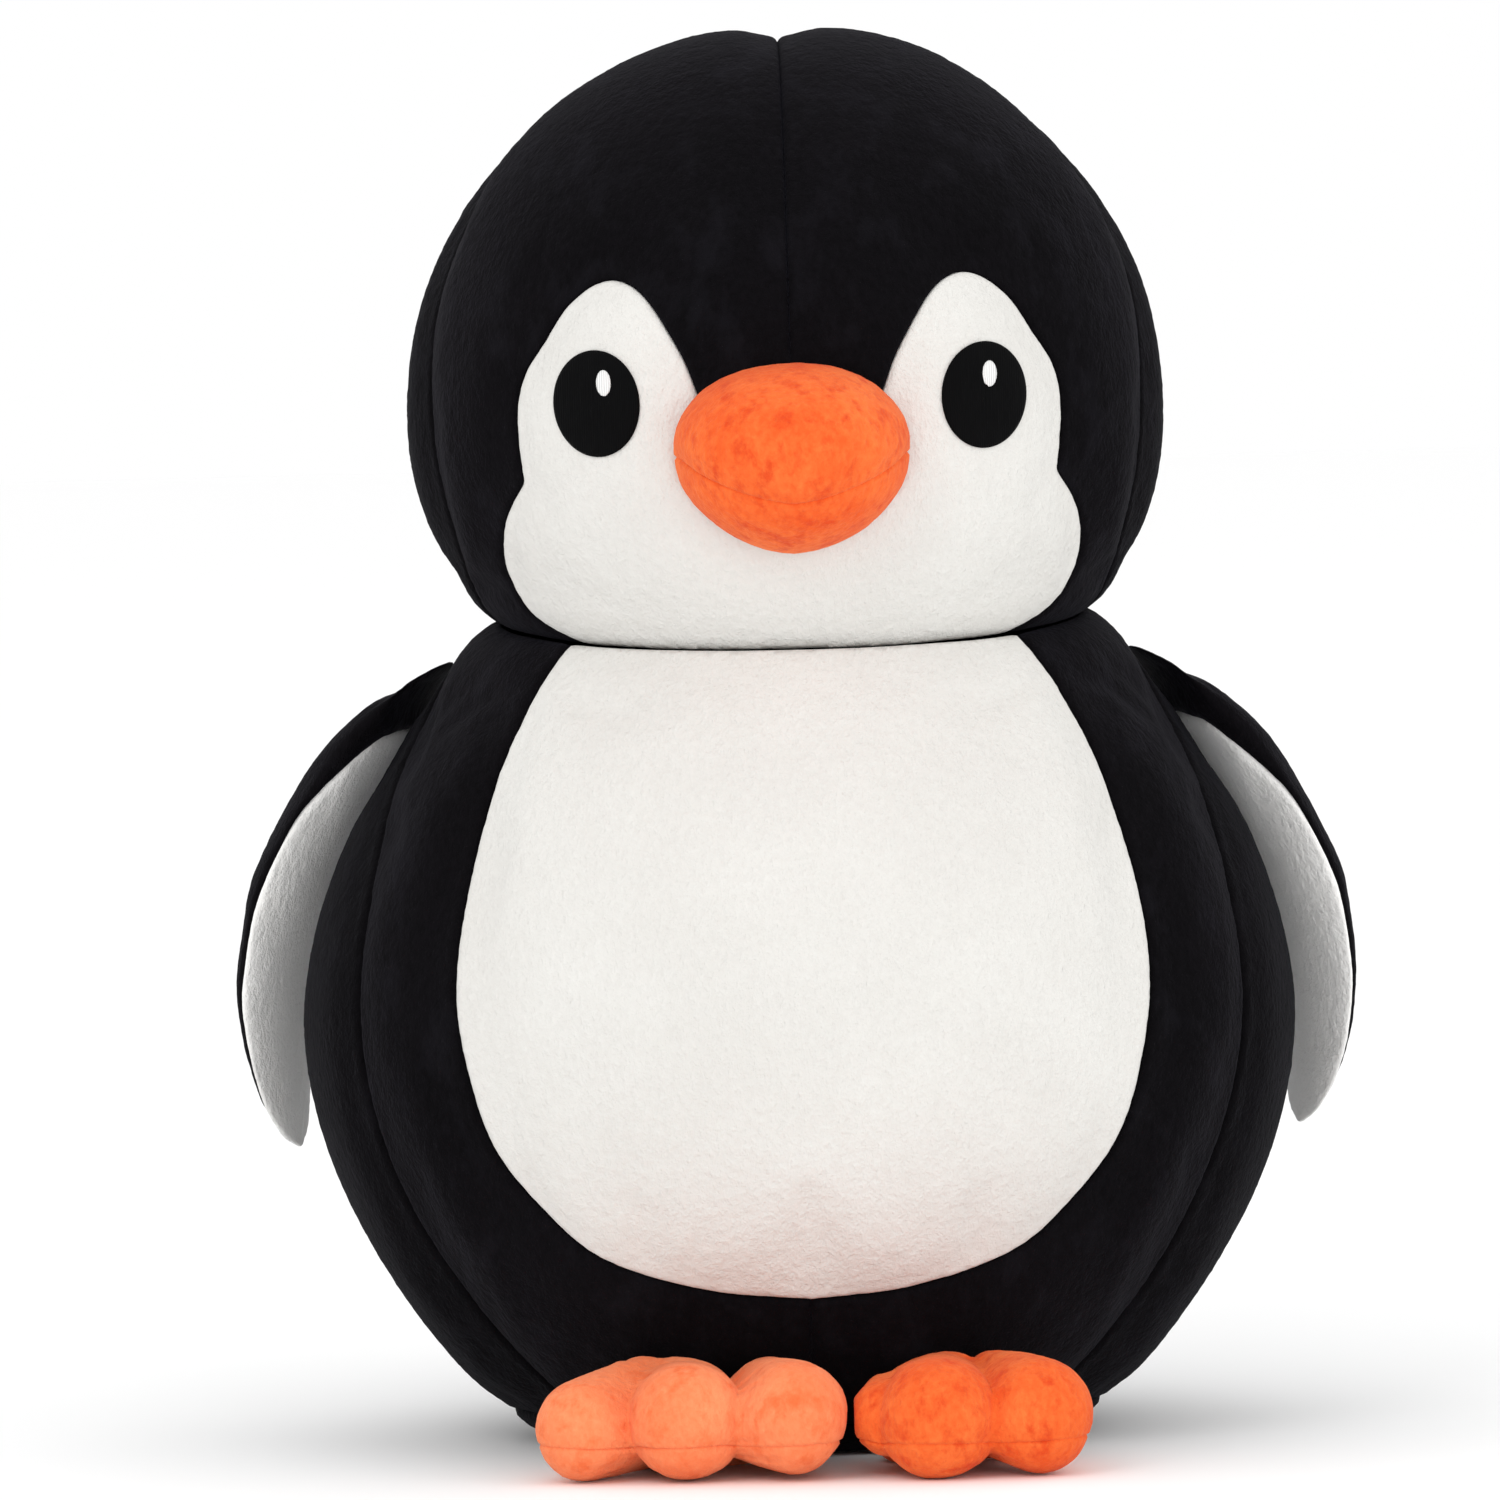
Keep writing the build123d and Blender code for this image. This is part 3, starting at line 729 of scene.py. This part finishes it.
# ----------------------------------------------------------------- head panels
mask_half = np.concatenate([
    smooth_curve(
        [(16, 253), (23.2, 265), (26.1, 272.6), (30.4, 280.6), (35.0, 287.8), (39.6, 292.4), (45, 294),
         (51.2, 291.6), (57.5, 285.6), (62.3, 277.8), (66.8, 270.6), (69.2, 262.5), (69.6, 253),
         (68.4, 242)], 700),
    smooth_curve(
        [(68.4, 242), (72.3, 235), (74, 226.7), (72.2, 218.5), (67.5, 211.4), (62, 206.4), (53, 201),
         (46, 197)], 400)[1:],
])
mask_outline = np.concatenate([mask_half, [(0, 197), (0, 253)]])
head_side = smooth_curve(
    [(-14.0, 188), (-16, 204), (-25, 235), (-22, 262), (-12, 290), (10, 330), (26, 344), (40, 352)], 900)
side_levels = np.concatenate([
    np.linspace(196, 330, 400), 330 + 19.6 * np.linspace(0, 1, 600) ** 0.5])   # closer near the crown


def head_side_line(z):
    """How far back the head's side seams run, by level."""
    return np.interp(z, head_side[:, 1], head_side[:, 0])


crown_angles = np.linspace(math.radians(15), math.radians(225), 1400)
crown = edge_of(
    in_head,
    np.tile([0.0, 0.0, PIVOT], (len(crown_angles), 1)),
    np.stack([np.zeros(len(crown_angles)), -np.cos(crown_angles), np.sin(crown_angles)], axis=1),
)
head_seams = {
    "mask_left": face_line(in_head, mask_half[:, 0], mask_half[:, 1]),
    "mask_right": face_line(in_head, -mask_half[:, 0], mask_half[:, 1]),
    "side_left": flank_line(in_head, head_side_line(side_levels), side_levels, 1.0),
    "side_right": flank_line(in_head, head_side_line(side_levels), side_levels, -1.0),
    "crown": crown,
}
head_form = build_skin(
    in_head, (0, 0, PIVOT), 34,
    lambda p: soft_step(-crease_rise(p), -14, -3), list(head_seams.values()), 3.0,
)


def mask_sign(p):
    held = in_outline(np.abs(p[:, 0]), p[:, 2], mask_outline) & (p[:, 1] < 0)
    return np.where(held, -1.0, 1.0)


def head_front_sign(p):
    return np.where(p[:, 1] < head_side_line(p[:, 2]), -1.0, 1.0)


head_form = seamed(head_form, [
    (signed([head_seams["mask_left"], head_seams["mask_right"]], mask_sign), True),
    (signed([head_seams["side_left"], head_seams["side_right"]], head_front_sign), True),
    (lambda p: p[:, 0], True),
    (crease_rise, False),
])
rest, shown, faces = relief(head_form, head_seams, {"mask_left": 1.7, "mask_right": 1.7}, 4)
tuck_in(rest, shown, crease_rise(rest))
middles = centres_of(rest, faces)
masked, forward = mask_sign(middles) < 0, head_front_sign(middles) < 0
leftward = middles[:, 0] > 0
part_of = np.select(
    [crease_rise(middles) < 0, masked, forward & leftward, forward, leftward], [0, 1, 2, 3, 4], 5)
even_seams(shown, faces, part_of)
head_surface = BVHTree.FromPolygons((shown * MM).tolist(), [list(map(int, f)) for f in faces])
# The back panels take the darker copy of the black plush: painted shade.
HEAD_PANELS = (
    ("face_mask", WHITE, "white_plush"),
    ("head_front_left", BLACK, "black_plush"),
    ("head_front_right", BLACK, "black_plush"),
    ("head_back_left", BLACK_SHADED, "black_plush"),
    ("head_back_right", BLACK_SHADED, "black_plush"),
)
for number, (name, material, slot) in enumerate(HEAD_PANELS, 1):
    cloth = panel(name + "_cloth", shown, faces, part_of == number)
    extra = ("head_stuffing",) if name == "face_mask" else ()
    dress(cloth, material, slot, None, name, *extra, fill=0.95)
    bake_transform(cloth)

# ------------------------------------------------------------------------ beak
beak_low, beak_high = box("beak_upper")
BEAK_UP, BEAK_DOWN = 22.5, 24.5                # its heights above and below its widest level
BEAK_SAG = 13.0                                # how far its seam hangs in the middle
BEAK_LEVEL = beak_high[2] - (BEAK_UP + 1.0)
BEAK_HALF = (beak_high[0] - beak_low[0]) / 2 + 1.2
BEAK_TIP = beak_low[1]
BEAK_BACK = -HEAD_DEPTH / 2 + 3


def in_beak(p):
    across = np.abs(p[:, 0]) / BEAK_HALF
    forth = np.abs(p[:, 1] - BEAK_BACK) / np.where(p[:, 1] < BEAK_BACK, BEAK_BACK - BEAK_TIP, 7.0)
    up = p[:, 2] - BEAK_LEVEL
    high = np.where(up > 0, up / BEAK_UP, -up / BEAK_DOWN)
    power = np.where(up > 0, 2.15, 1.75)
    return across**power + forth**2.1 + high**power < 1


def beak_droop(p):
    """The seam between the beak's panels runs from corner to corner and hangs lower
    in the middle."""
    sag = BEAK_SAG * np.clip(1 - (np.abs(p[:, 0]) / BEAK_HALF) ** 1.7, 0, 1)
    up = p[:, 2] - BEAK_LEVEL
    above, below = up * (BEAK_UP + sag) / BEAK_UP, up * (BEAK_DOWN - sag) / BEAK_DOWN
    moved = p.copy()
    moved[:, 2] = BEAK_LEVEL - sag + np.where(up > 0, above, below)
    return moved


def closed_piece(inside, centre, count, cap, held_of, seam_depth, seed,
                 aim=None, levels=2, swell=4.0, lumps=0.3):
    """A stuffed form of two panels that meet at the level of its centre, or where aim
    takes that line: its points, its quads, and which of them are the upper panel's."""
    directions, quads = ball(count)
    origins = np.tile(np.array(centre, float), (len(directions), 1))
    rest = edge_of(inside, origins, directions)
    if aim:
        ways = aim(rest) - origins
        rest = edge_of(inside, origins, ways / np.linalg.norm(ways, axis=1)[:, None])
    edge = np.abs(directions[:, 2]) < 1e-6
    near_seam = distances(rest, rest[edge])
    blown = inflate(rest, quads, held_of(rest), np.exp(-((near_seam / 4) ** 2)), cap, swell)
    upper = directions[quads].mean(axis=1)[:, 2] > 0
    for _ in range(levels):
        blown, quads = refine(blown, quads, 1)
        upper = np.repeat(upper, 4)
    seam = np.intersect1d(quads[upper], quads[~upper])
    normals = normals_of(blown, quads)
    blown = blown - normals * rolled(seam_depth, distances(blown, blown[seam]))[:, None]
    blown = blown + normals * (lumps * ripple(blown, 16.0, seed))[:, None]
    return pile(blown, normals, seed, 0.12), quads, upper


points, quads, upper = closed_piece(
    in_beak, (0, BEAK_BACK, BEAK_LEVEL), 16, 1.8,
    lambda p: soft_step(p[:, 1], BEAK_BACK - 4, BEAK_BACK + 2), 0.6, 11, aim=beak_droop)
for name, chosen in (("beak_upper", upper), ("beak_lower", ~upper)):
    cloth = panel(name + "_cloth", points, quads, chosen, hem=0)
    extra = ("beak_stuffing",) if name == "beak_upper" else ()
    dress(cloth, ORANGE, "orange_plush", "head", name, *extra, fill=0.95)


# ------------------------------------------------------------------------ eyes
EYE_SKIRT = -1.2                               # a patch's rim ends this far inside the face
THREAD_RIDGE, THREAD_PITCH = 0.07, 0.45


def patch(name, centre, width, height, lift, crown, rings=18, spokes=72):
    """An embroidered oval laid on the face: a raised pad of upright satin threads."""
    points, faces = [], []
    for ring in range(rings + 2):
        share = min(ring / rings, 1.0)
        for spoke in range(spokes):
            angle = 2 * math.pi * spoke / spokes
            x = centre[0] + math.cos(angle) * share * width / 2
            z = centre[1] + math.sin(angle) * share * height / 2
            before_face = Vector((x, -200, z)) * MM
            hit, _, _, _ = head_surface.ray_cast(before_face, Vector((0, 1, 0)))
            dome = lift + crown * math.sqrt(max(1 - share**2, 0))
            raised_by = dome if ring <= rings else EYE_SKIRT
            stitched = 0 < ring < rings
            ridge = THREAD_RIDGE * math.sin(x / THREAD_PITCH * math.pi) if stitched else 0
            facing = Vector((x * 0.5 / HEAD_WIDTH * 2, -1, (z - PIVOT) / 120)).normalized()
            points.append(hit / MM + facing * (raised_by + ridge))
            if ring == 0:
                break
    for spoke in range(spokes):
        after = (spoke + 1) % spokes
        faces.append([0, 1 + spoke, 1 + after])
    for ring in range(rings):
        start = 1 + ring * spokes
        for spoke in range(spokes):
            after = (spoke + 1) % spokes
            outer = start + spokes
            faces.append([start + spoke, outer + spoke, outer + after, start + after])
    points = np.array([list(p) for p in points])
    obj = mesh_object(name, points, [f[::-1] for f in faces])
    obj.data.polygons.foreach_set("use_smooth", [True] * len(obj.data.polygons))
    return obj


for side in ("left", "right"):
    low, high = box(f"eye_{side}")
    middle = ((low[0] + high[0]) / 2 * 0.98, (low[2] + high[2]) / 2)
    eye = patch(f"eye_{side}_thread", middle, high[0] - low[0], high[2] - low[2], 0.5, 0.9)
    dress(eye, BLACK_THREAD, "black_thread", "head", f"eye_{side}")
    low, high = box(f"eye_highlight_{side}")
    shift = 2.0 if side == "right" else 1.2
    middle = (middle[0] + shift, (low[2] + high[2]) / 2)
    size = high - low
    spark = patch(f"eye_highlight_{side}_thread", middle, size[0], size[2], 1.3, 0.5, 8, 32)
    dress(spark, WHITE_THREAD, "white_thread", "head", f"eye_highlight_{side}")

# ----------------------------------------------------------------------- wings
# Half the wing's width, at shares of the way from its root to its tip.
WING_SHARES = [0, 0.12, 0.3, 0.5, 0.7, 0.82, 0.91, 0.97, 1.0]
WING_HALVES = [19.0, 22.0, 25.5, 27.5, 26.0, 21.8, 16.0, 9.0, 0.0]
# The curve of the hanging wing: its middle and its tip, out from and above the hinge.
WING_MIDDLE, WING_TIP = (37.0, -58.5), (29.5, -117.0)
WING_START, WING_END = -2.0, 3.0               # the pillow begins above the hinge, ends before the tip
WING_OFFSET = 4.5                              # the outer side's distance from the wing's curve
WING_CENTRE = 0.47                             # share of the length where the pillow is laid out from

hinge = np.array(joints["wing_left_raise"]["pos_m"]) / MM
hinge_axis = np.array(joints["wing_left_raise"]["axis"])
outward = np.array([-hinge_axis[1], hinge_axis[0], 0.0])


def wing_thickness(along):
    return np.interp(along, [-6, 4, 30, 60, 100, 130], [6.0, 10.0, 12.5, 12.5, 10.5, 6.5])


def arc_through(first, second, third):
    """Centre and radius of the circle through three 2-D points."""
    (ax, ay), (bx, by), (cx, cy) = first, second, third
    a, b, c = ax**2 + ay**2, bx**2 + by**2, cx**2 + cy**2
    d = 2 * (ax * (by - cy) + bx * (cy - ay) + cx * (ay - by))
    x = (a * (by - cy) + b * (cy - ay) + c * (ay - by)) / d
    y = (a * (cx - bx) + b * (ax - cx) + c * (bx - ax)) / d
    return np.array([x, y]), math.hypot(ax - x, ay - y)


arc_centre, arc_radius = arc_through((0, 0), WING_MIDDLE, WING_TIP)
start_angle = math.atan2(-arc_centre[1], -arc_centre[0])
end_angle = math.atan2(WING_TIP[1] - arc_centre[1], WING_TIP[0] - arc_centre[0])
arc_length = arc_radius * (start_angle - end_angle)


def bend_wing(p, sign):
    """Takes a flat wing (across, thickness, along) to its place beside the torso."""
    along = np.clip(p[:, 2], 0, None)
    angle = start_angle - along / arc_radius
    facing = np.stack([np.cos(angle), np.sin(angle)], axis=1)
    spine = arc_centre + arc_radius * facing
    before = np.minimum(p[:, 2], 0)[:, None]
    ahead = np.stack([np.sin(angle), -np.cos(angle)], axis=1)
    flat_place = spine + facing * p[:, 1:2] + ahead * before
    placed = hinge + flat_place[:, :1] * outward + p[:, :1] * hinge_axis
    placed = placed + flat_place[:, 1:2] * np.array([0, 0, 1.0])
    placed[:, 0] *= sign
    return placed


def flat_wing(directions):
    """A leaf-shaped pillow: its seam lies in the plane of no thickness."""
    radius = np.hypot(directions[:, 0], directions[:, 1])
    angle = np.arctan2(directions[:, 1], directions[:, 0])
    shares = np.linspace(0, 1, 800)
    half = np.interp(shares, WING_SHARES, WING_HALVES)
    length = arc_length - (WING_START + WING_END)
    outline_x = np.concatenate([half, -half[::-1]]) * 2.0    # widened, so that rays spread evenly
    outline_s = np.concatenate([shares, shares[::-1]]) * length + WING_START
    middle_s = WING_CENTRE * length + WING_START
    around = np.arctan2(outline_s - middle_s, outline_x)
    order = np.argsort(around)
    reach = np.hypot(outline_x, outline_s - middle_s)[order]
    edge = np.interp(angle, around[order], reach, period=2 * math.pi)
    across = np.cos(angle) * edge * radius / 2.0
    along = middle_s + np.sin(angle) * edge * radius
    fullness = np.clip(1 - radius**2.8, 0, 1) ** 0.7
    depth = np.sign(directions[:, 2]) * fullness * wing_thickness(along) / 2
    return np.stack([across, depth, along], axis=1)


def wing_seam(p):
    """A field that is zero on the wing's seam: near the root the black panel wraps
    onto the inner side."""
    wrap = np.interp(p[:, 2], [3, 9, 20, 34, 50, 85], [7.0, 4.0, 2.4, 0.9, -0.2, -0.9])
    return p[:, 1] + wrap * wing_thickness(p[:, 2]) / 12.0


for side, sign in (("left", 1.0), ("right", -1.0)):
    directions, quads = ball(20)
    rest = flat_wing(directions)
    edge = np.abs(directions[:, 2]) < 1e-6
    near_seam = distances(rest, rest[edge])
    tight = np.exp(-((near_seam / 5) ** 2))
    blown = inflate(rest, quads, soft_step(-rest[:, 2], -10, 0), tight, 1.6, 3.0, 0.06)
    fine_rest, fine_quads = refine(rest, quads, 2)
    fine_blown, _ = refine(blown, quads, 2)
    rest, blown, faces = seamed(
        (fine_rest, fine_blown, fine_quads), [(wing_seam, True)], (0.0, 0.4, -0.4, 1.0, -1.0))
    blown[:, 1] += WING_OFFSET - wing_thickness(blown[:, 2]) / 2
    placed = bend_wing(blown, sign)
    if sign < 0:                                # mirrored, so each face is turned over
        faces = [f[::-1] for f in faces]
    normals = normals_of(placed, faces)
    placed = placed - normals * rolled(1.3, np.abs(wing_seam(rest)))[:, None]
    placed = placed + normals * (0.5 * ripple(placed, 22.0, 21 + sign))[:, None]
    placed = pile(placed, normals, 23, 0.12)
    outer_side = wing_seam(centres_of(rest, faces)) > 0
    even_seams(placed, faces, outer_side)
    # The inner panels take the brighter copy of the white plush: painted light.
    for name, chosen, material, slot in (
        ("outer", outer_side, BLACK, "black_plush"),
        ("inner", ~outer_side, WING_WHITE_PAINTED_LIGHT, "white_plush"),
    ):
        cloth = panel(f"wing_{side}_{name}_cloth", placed, faces, chosen, hem=0)
        extra = (f"wing_{side}_stuffing",) if name == "outer" else ()
        dress(cloth, material, slot, f"wing_{side}", f"wing_{side}_{name}", *extra, fill=0.7)

# ------------------------------------------------------------------------ feet
TOE_TIP = box("foot_right_sole")[0][1]
HEEL = joints["foot_left_fold"]["pos_m"][1] / MM


def smooth_least(values, softness):
    """The least of several distances, rounded where two are close."""
    stack = np.array(values)
    least = stack.min(axis=0)
    return least - softness * np.log(np.exp(-(stack - least) / softness).sum(axis=0))


def capsule(p, a, b, radius_a, radius_b):
    """Distance to a rounded bar from a to b whose radius changes along it."""
    a, b = np.array(a, float), np.array(b, float)
    way = b - a
    t = np.clip(((p - a) @ way) / (way @ way), 0, 1)
    off = p - (a + t[:, None] * way)
    return np.linalg.norm(off, axis=1) - (radius_a + (radius_b - radius_a) * t)


def in_foot(toes):
    def inside(p):
        bars = [capsule(p, start, end, r1, r2) for start, end, r1, r2 in toes]
        return (smooth_least(bars, 0.35) < 0) & (p[:, 2] > 0.25) & (p[:, 1] < HEEL + 5.6)
    return inside


# Each toe, and last the heel: where its bar starts and ends, and its radius at both.
# The gap between the feet runs from INNER_RIGHT to INNER_LEFT.
INNER_RIGHT, INNER_LEFT = 9.2, 9.6
FEET = {
    "right": dict(
        toes=[((-42, HEEL - 10, 14.5), (-57.0, TOE_TIP + 25, 12.6), 13.5, 12.4),
              ((-32, HEEL - 12, 15.0), (-31.5, TOE_TIP + 21, 15.0), 13.5, 14.6),
              ((-10, HEEL - 12, 15.0), (-5.5, TOE_TIP + 18.5, 15.2), 12.5, 14.0),
              ((-45, HEEL - 3, 8), (-12, HEEL - 3, 8), 8.0, 8.0)],
        centre=(-31.0, HEEL - 20, 9.0), material=PEACH, slot="peach_plush"),
    "left": dict(
        toes=[((22, HEEL - 13, 14.5), (17.5, TOE_TIP + 22, 14.5), 9.5, 9.5),
              ((31, HEEL - 12, 15.0), (30.0, TOE_TIP + 15.5, 14.8), 13.8, 15.0),
              ((46, HEEL - 13, 15.0), (54.5, TOE_TIP + 18.5, 14.4), 13.0, 14.2),
              ((22, HEEL - 3, 8), (52, HEEL - 3, 8), 8.0, 8.0)],
        centre=(33.0, HEEL - 20, 9.0), material=ORANGE, slot="orange_plush"),
}
for side, foot in FEET.items():
    points, quads, upper = closed_piece(
        in_foot(foot["toes"]), foot["centre"], 40, 1.0,
        lambda p: np.maximum(soft_step(-p[:, 2], -3, -1), soft_step(p[:, 1], HEEL - 4, HEEL + 2)),
        0.5, 31, levels=1, swell=3.0, lumps=0.4)
    low_x = box(f"foot_{side}_top")[0][0] - 2   # the cloth may stand 2 mm out of the CAD box
    if side == "right":
        points[:, 0] = np.clip(points[:, 0], low_x, INNER_RIGHT)
    else:
        points[:, 0] = np.maximum(points[:, 0], max(low_x, INNER_LEFT))
    points[:, 2] = np.maximum(points[:, 2], 0.0)
    for name, chosen in (("top", upper), ("sole", ~upper)):
        cloth = panel(f"foot_{side}_{name}_cloth", points, quads, chosen, hem=0)
        replaced = [f"foot_{side}_{name}"] + ([f"foot_{side}_stuffing"] if name == "top" else [])
        dress(cloth, foot["material"], foot["slot"], f"foot_{side}", *replaced, fill=0.9)

# ------------------------------------------------------------- small CAD nodes
ROLL_FRONT = -0.053                            # in metres; in front of it the roll is white


def two_tone(material):
    """Shows a plush's mark colour in front of ROLL_FRONT and its own colour elsewhere."""
    tree = material.node_tree
    apart = tree.nodes.new("ShaderNodeSeparateXYZ")
    in_front = tree.nodes.new("ShaderNodeMath")
    in_front.operation = "LESS_THAN"
    in_front.inputs[1].default_value = ROLL_FRONT
    tree.links.new(tree.nodes["Texture Coordinate"].outputs["Object"], apart.inputs[0])
    tree.links.new(apart.outputs["Y"], in_front.inputs[0])
    tree.links.new(in_front.outputs[0], tree.nodes["Mix"].inputs["Factor"])
    return material


# The roll in the neck crease is the panels' own seam allowance: white in front, black elsewhere.
# The roll's black is the darker copy of the black plush: painted shade in the crease.
ROLL_CLOTH = two_tone(plush(
    "neck_roll", (0.0012, 0.0011, 0.0014), (0.0030, 0.0026, 0.0033), (0.62, 0.60, 0.56),
    0.02, (1, 1, 1), marks=0.0))
for name, material in (("neck_seam", ROLL_CLOTH), ("pellet_bag", PELLET_CLOTH), ("care_label", TAPE)):
    nodes[name].data.materials.clear()
    nodes[name].data.materials.append(material)

# ------------------------------------------------------------- floor and light
FLOOR = 3000
corners = [(-FLOOR, -FLOOR, 0), (FLOOR, -FLOOR, 0), (FLOOR, FLOOR, 0), (-FLOOR, FLOOR, 0)]
floor = mesh_object("floor", corners, [[0, 1, 2, 3]])
pale, tree, shader = tree_of("pale_floor")
shader.inputs["Base Color"].default_value = (0.98, 0.98, 0.98, 1)
shader.inputs["Roughness"].default_value = 0.9
floor.data.materials.append(pale)

bpy.context.scene.view_settings.view_transform = "Standard"
world = bpy.data.worlds.new("studio")
bpy.context.scene.world = world
world.use_nodes = True
background = world.node_tree.nodes["Background"]
background.inputs["Color"].default_value = (1, 1, 1, 1)
background.inputs["Strength"].default_value = 1.0


def softbox(name, place, size, power):
    """A square light at place, in metres, turned towards the toy."""
    light = bpy.data.lights.new(name, "AREA")
    light.shape = "RECTANGLE"
    light.size = light.size_y = size
    light.energy = power
    obj = bpy.data.objects.new(name, light)
    obj.location = place
    way = Vector((0, 0, 0.2)) - Vector(place)
    obj.rotation_euler = way.to_track_quat("-Z", "Y").to_euler()
    bpy.context.collection.objects.link(obj)


softbox("key", (-0.9, -1.5, 1.5), 0.9, 6)
softbox("fill", (1.5, -1.1, 0.9), 1.2, 3.5)
softbox("front", (0.2, -2.2, 0.25), 1.4, 10)
softbox("top", (0.0, 0.3, 1.8), 1.2, 2)

# ---------------------------------------------------------------------- camera
AZIMUTH, ELEVATION, ROLL = math.radians(-0.8), math.radians(5.1), math.radians(-1.3)
DISTANCE, LENS = 8.0, 774.0
target = Vector((-0.0108, 0.0, 0.1701))
camera = bpy.data.objects.new("camera", bpy.data.cameras.new("camera"))
camera.data.lens = LENS
camera.data.sensor_width = 36
camera.data.clip_end = 40
level = math.cos(ELEVATION)
away = Vector((math.sin(AZIMUTH) * level, -math.cos(AZIMUTH) * level, math.sin(ELEVATION)))
camera.location = target + away * DISTANCE
aimed = (-away).to_track_quat("-Z", "Y").to_matrix()
camera.rotation_euler = (aimed @ Matrix.Rotation(ROLL, 3, "Z")).to_euler()
bpy.context.collection.objects.link(camera)
bpy.context.scene.camera = camera
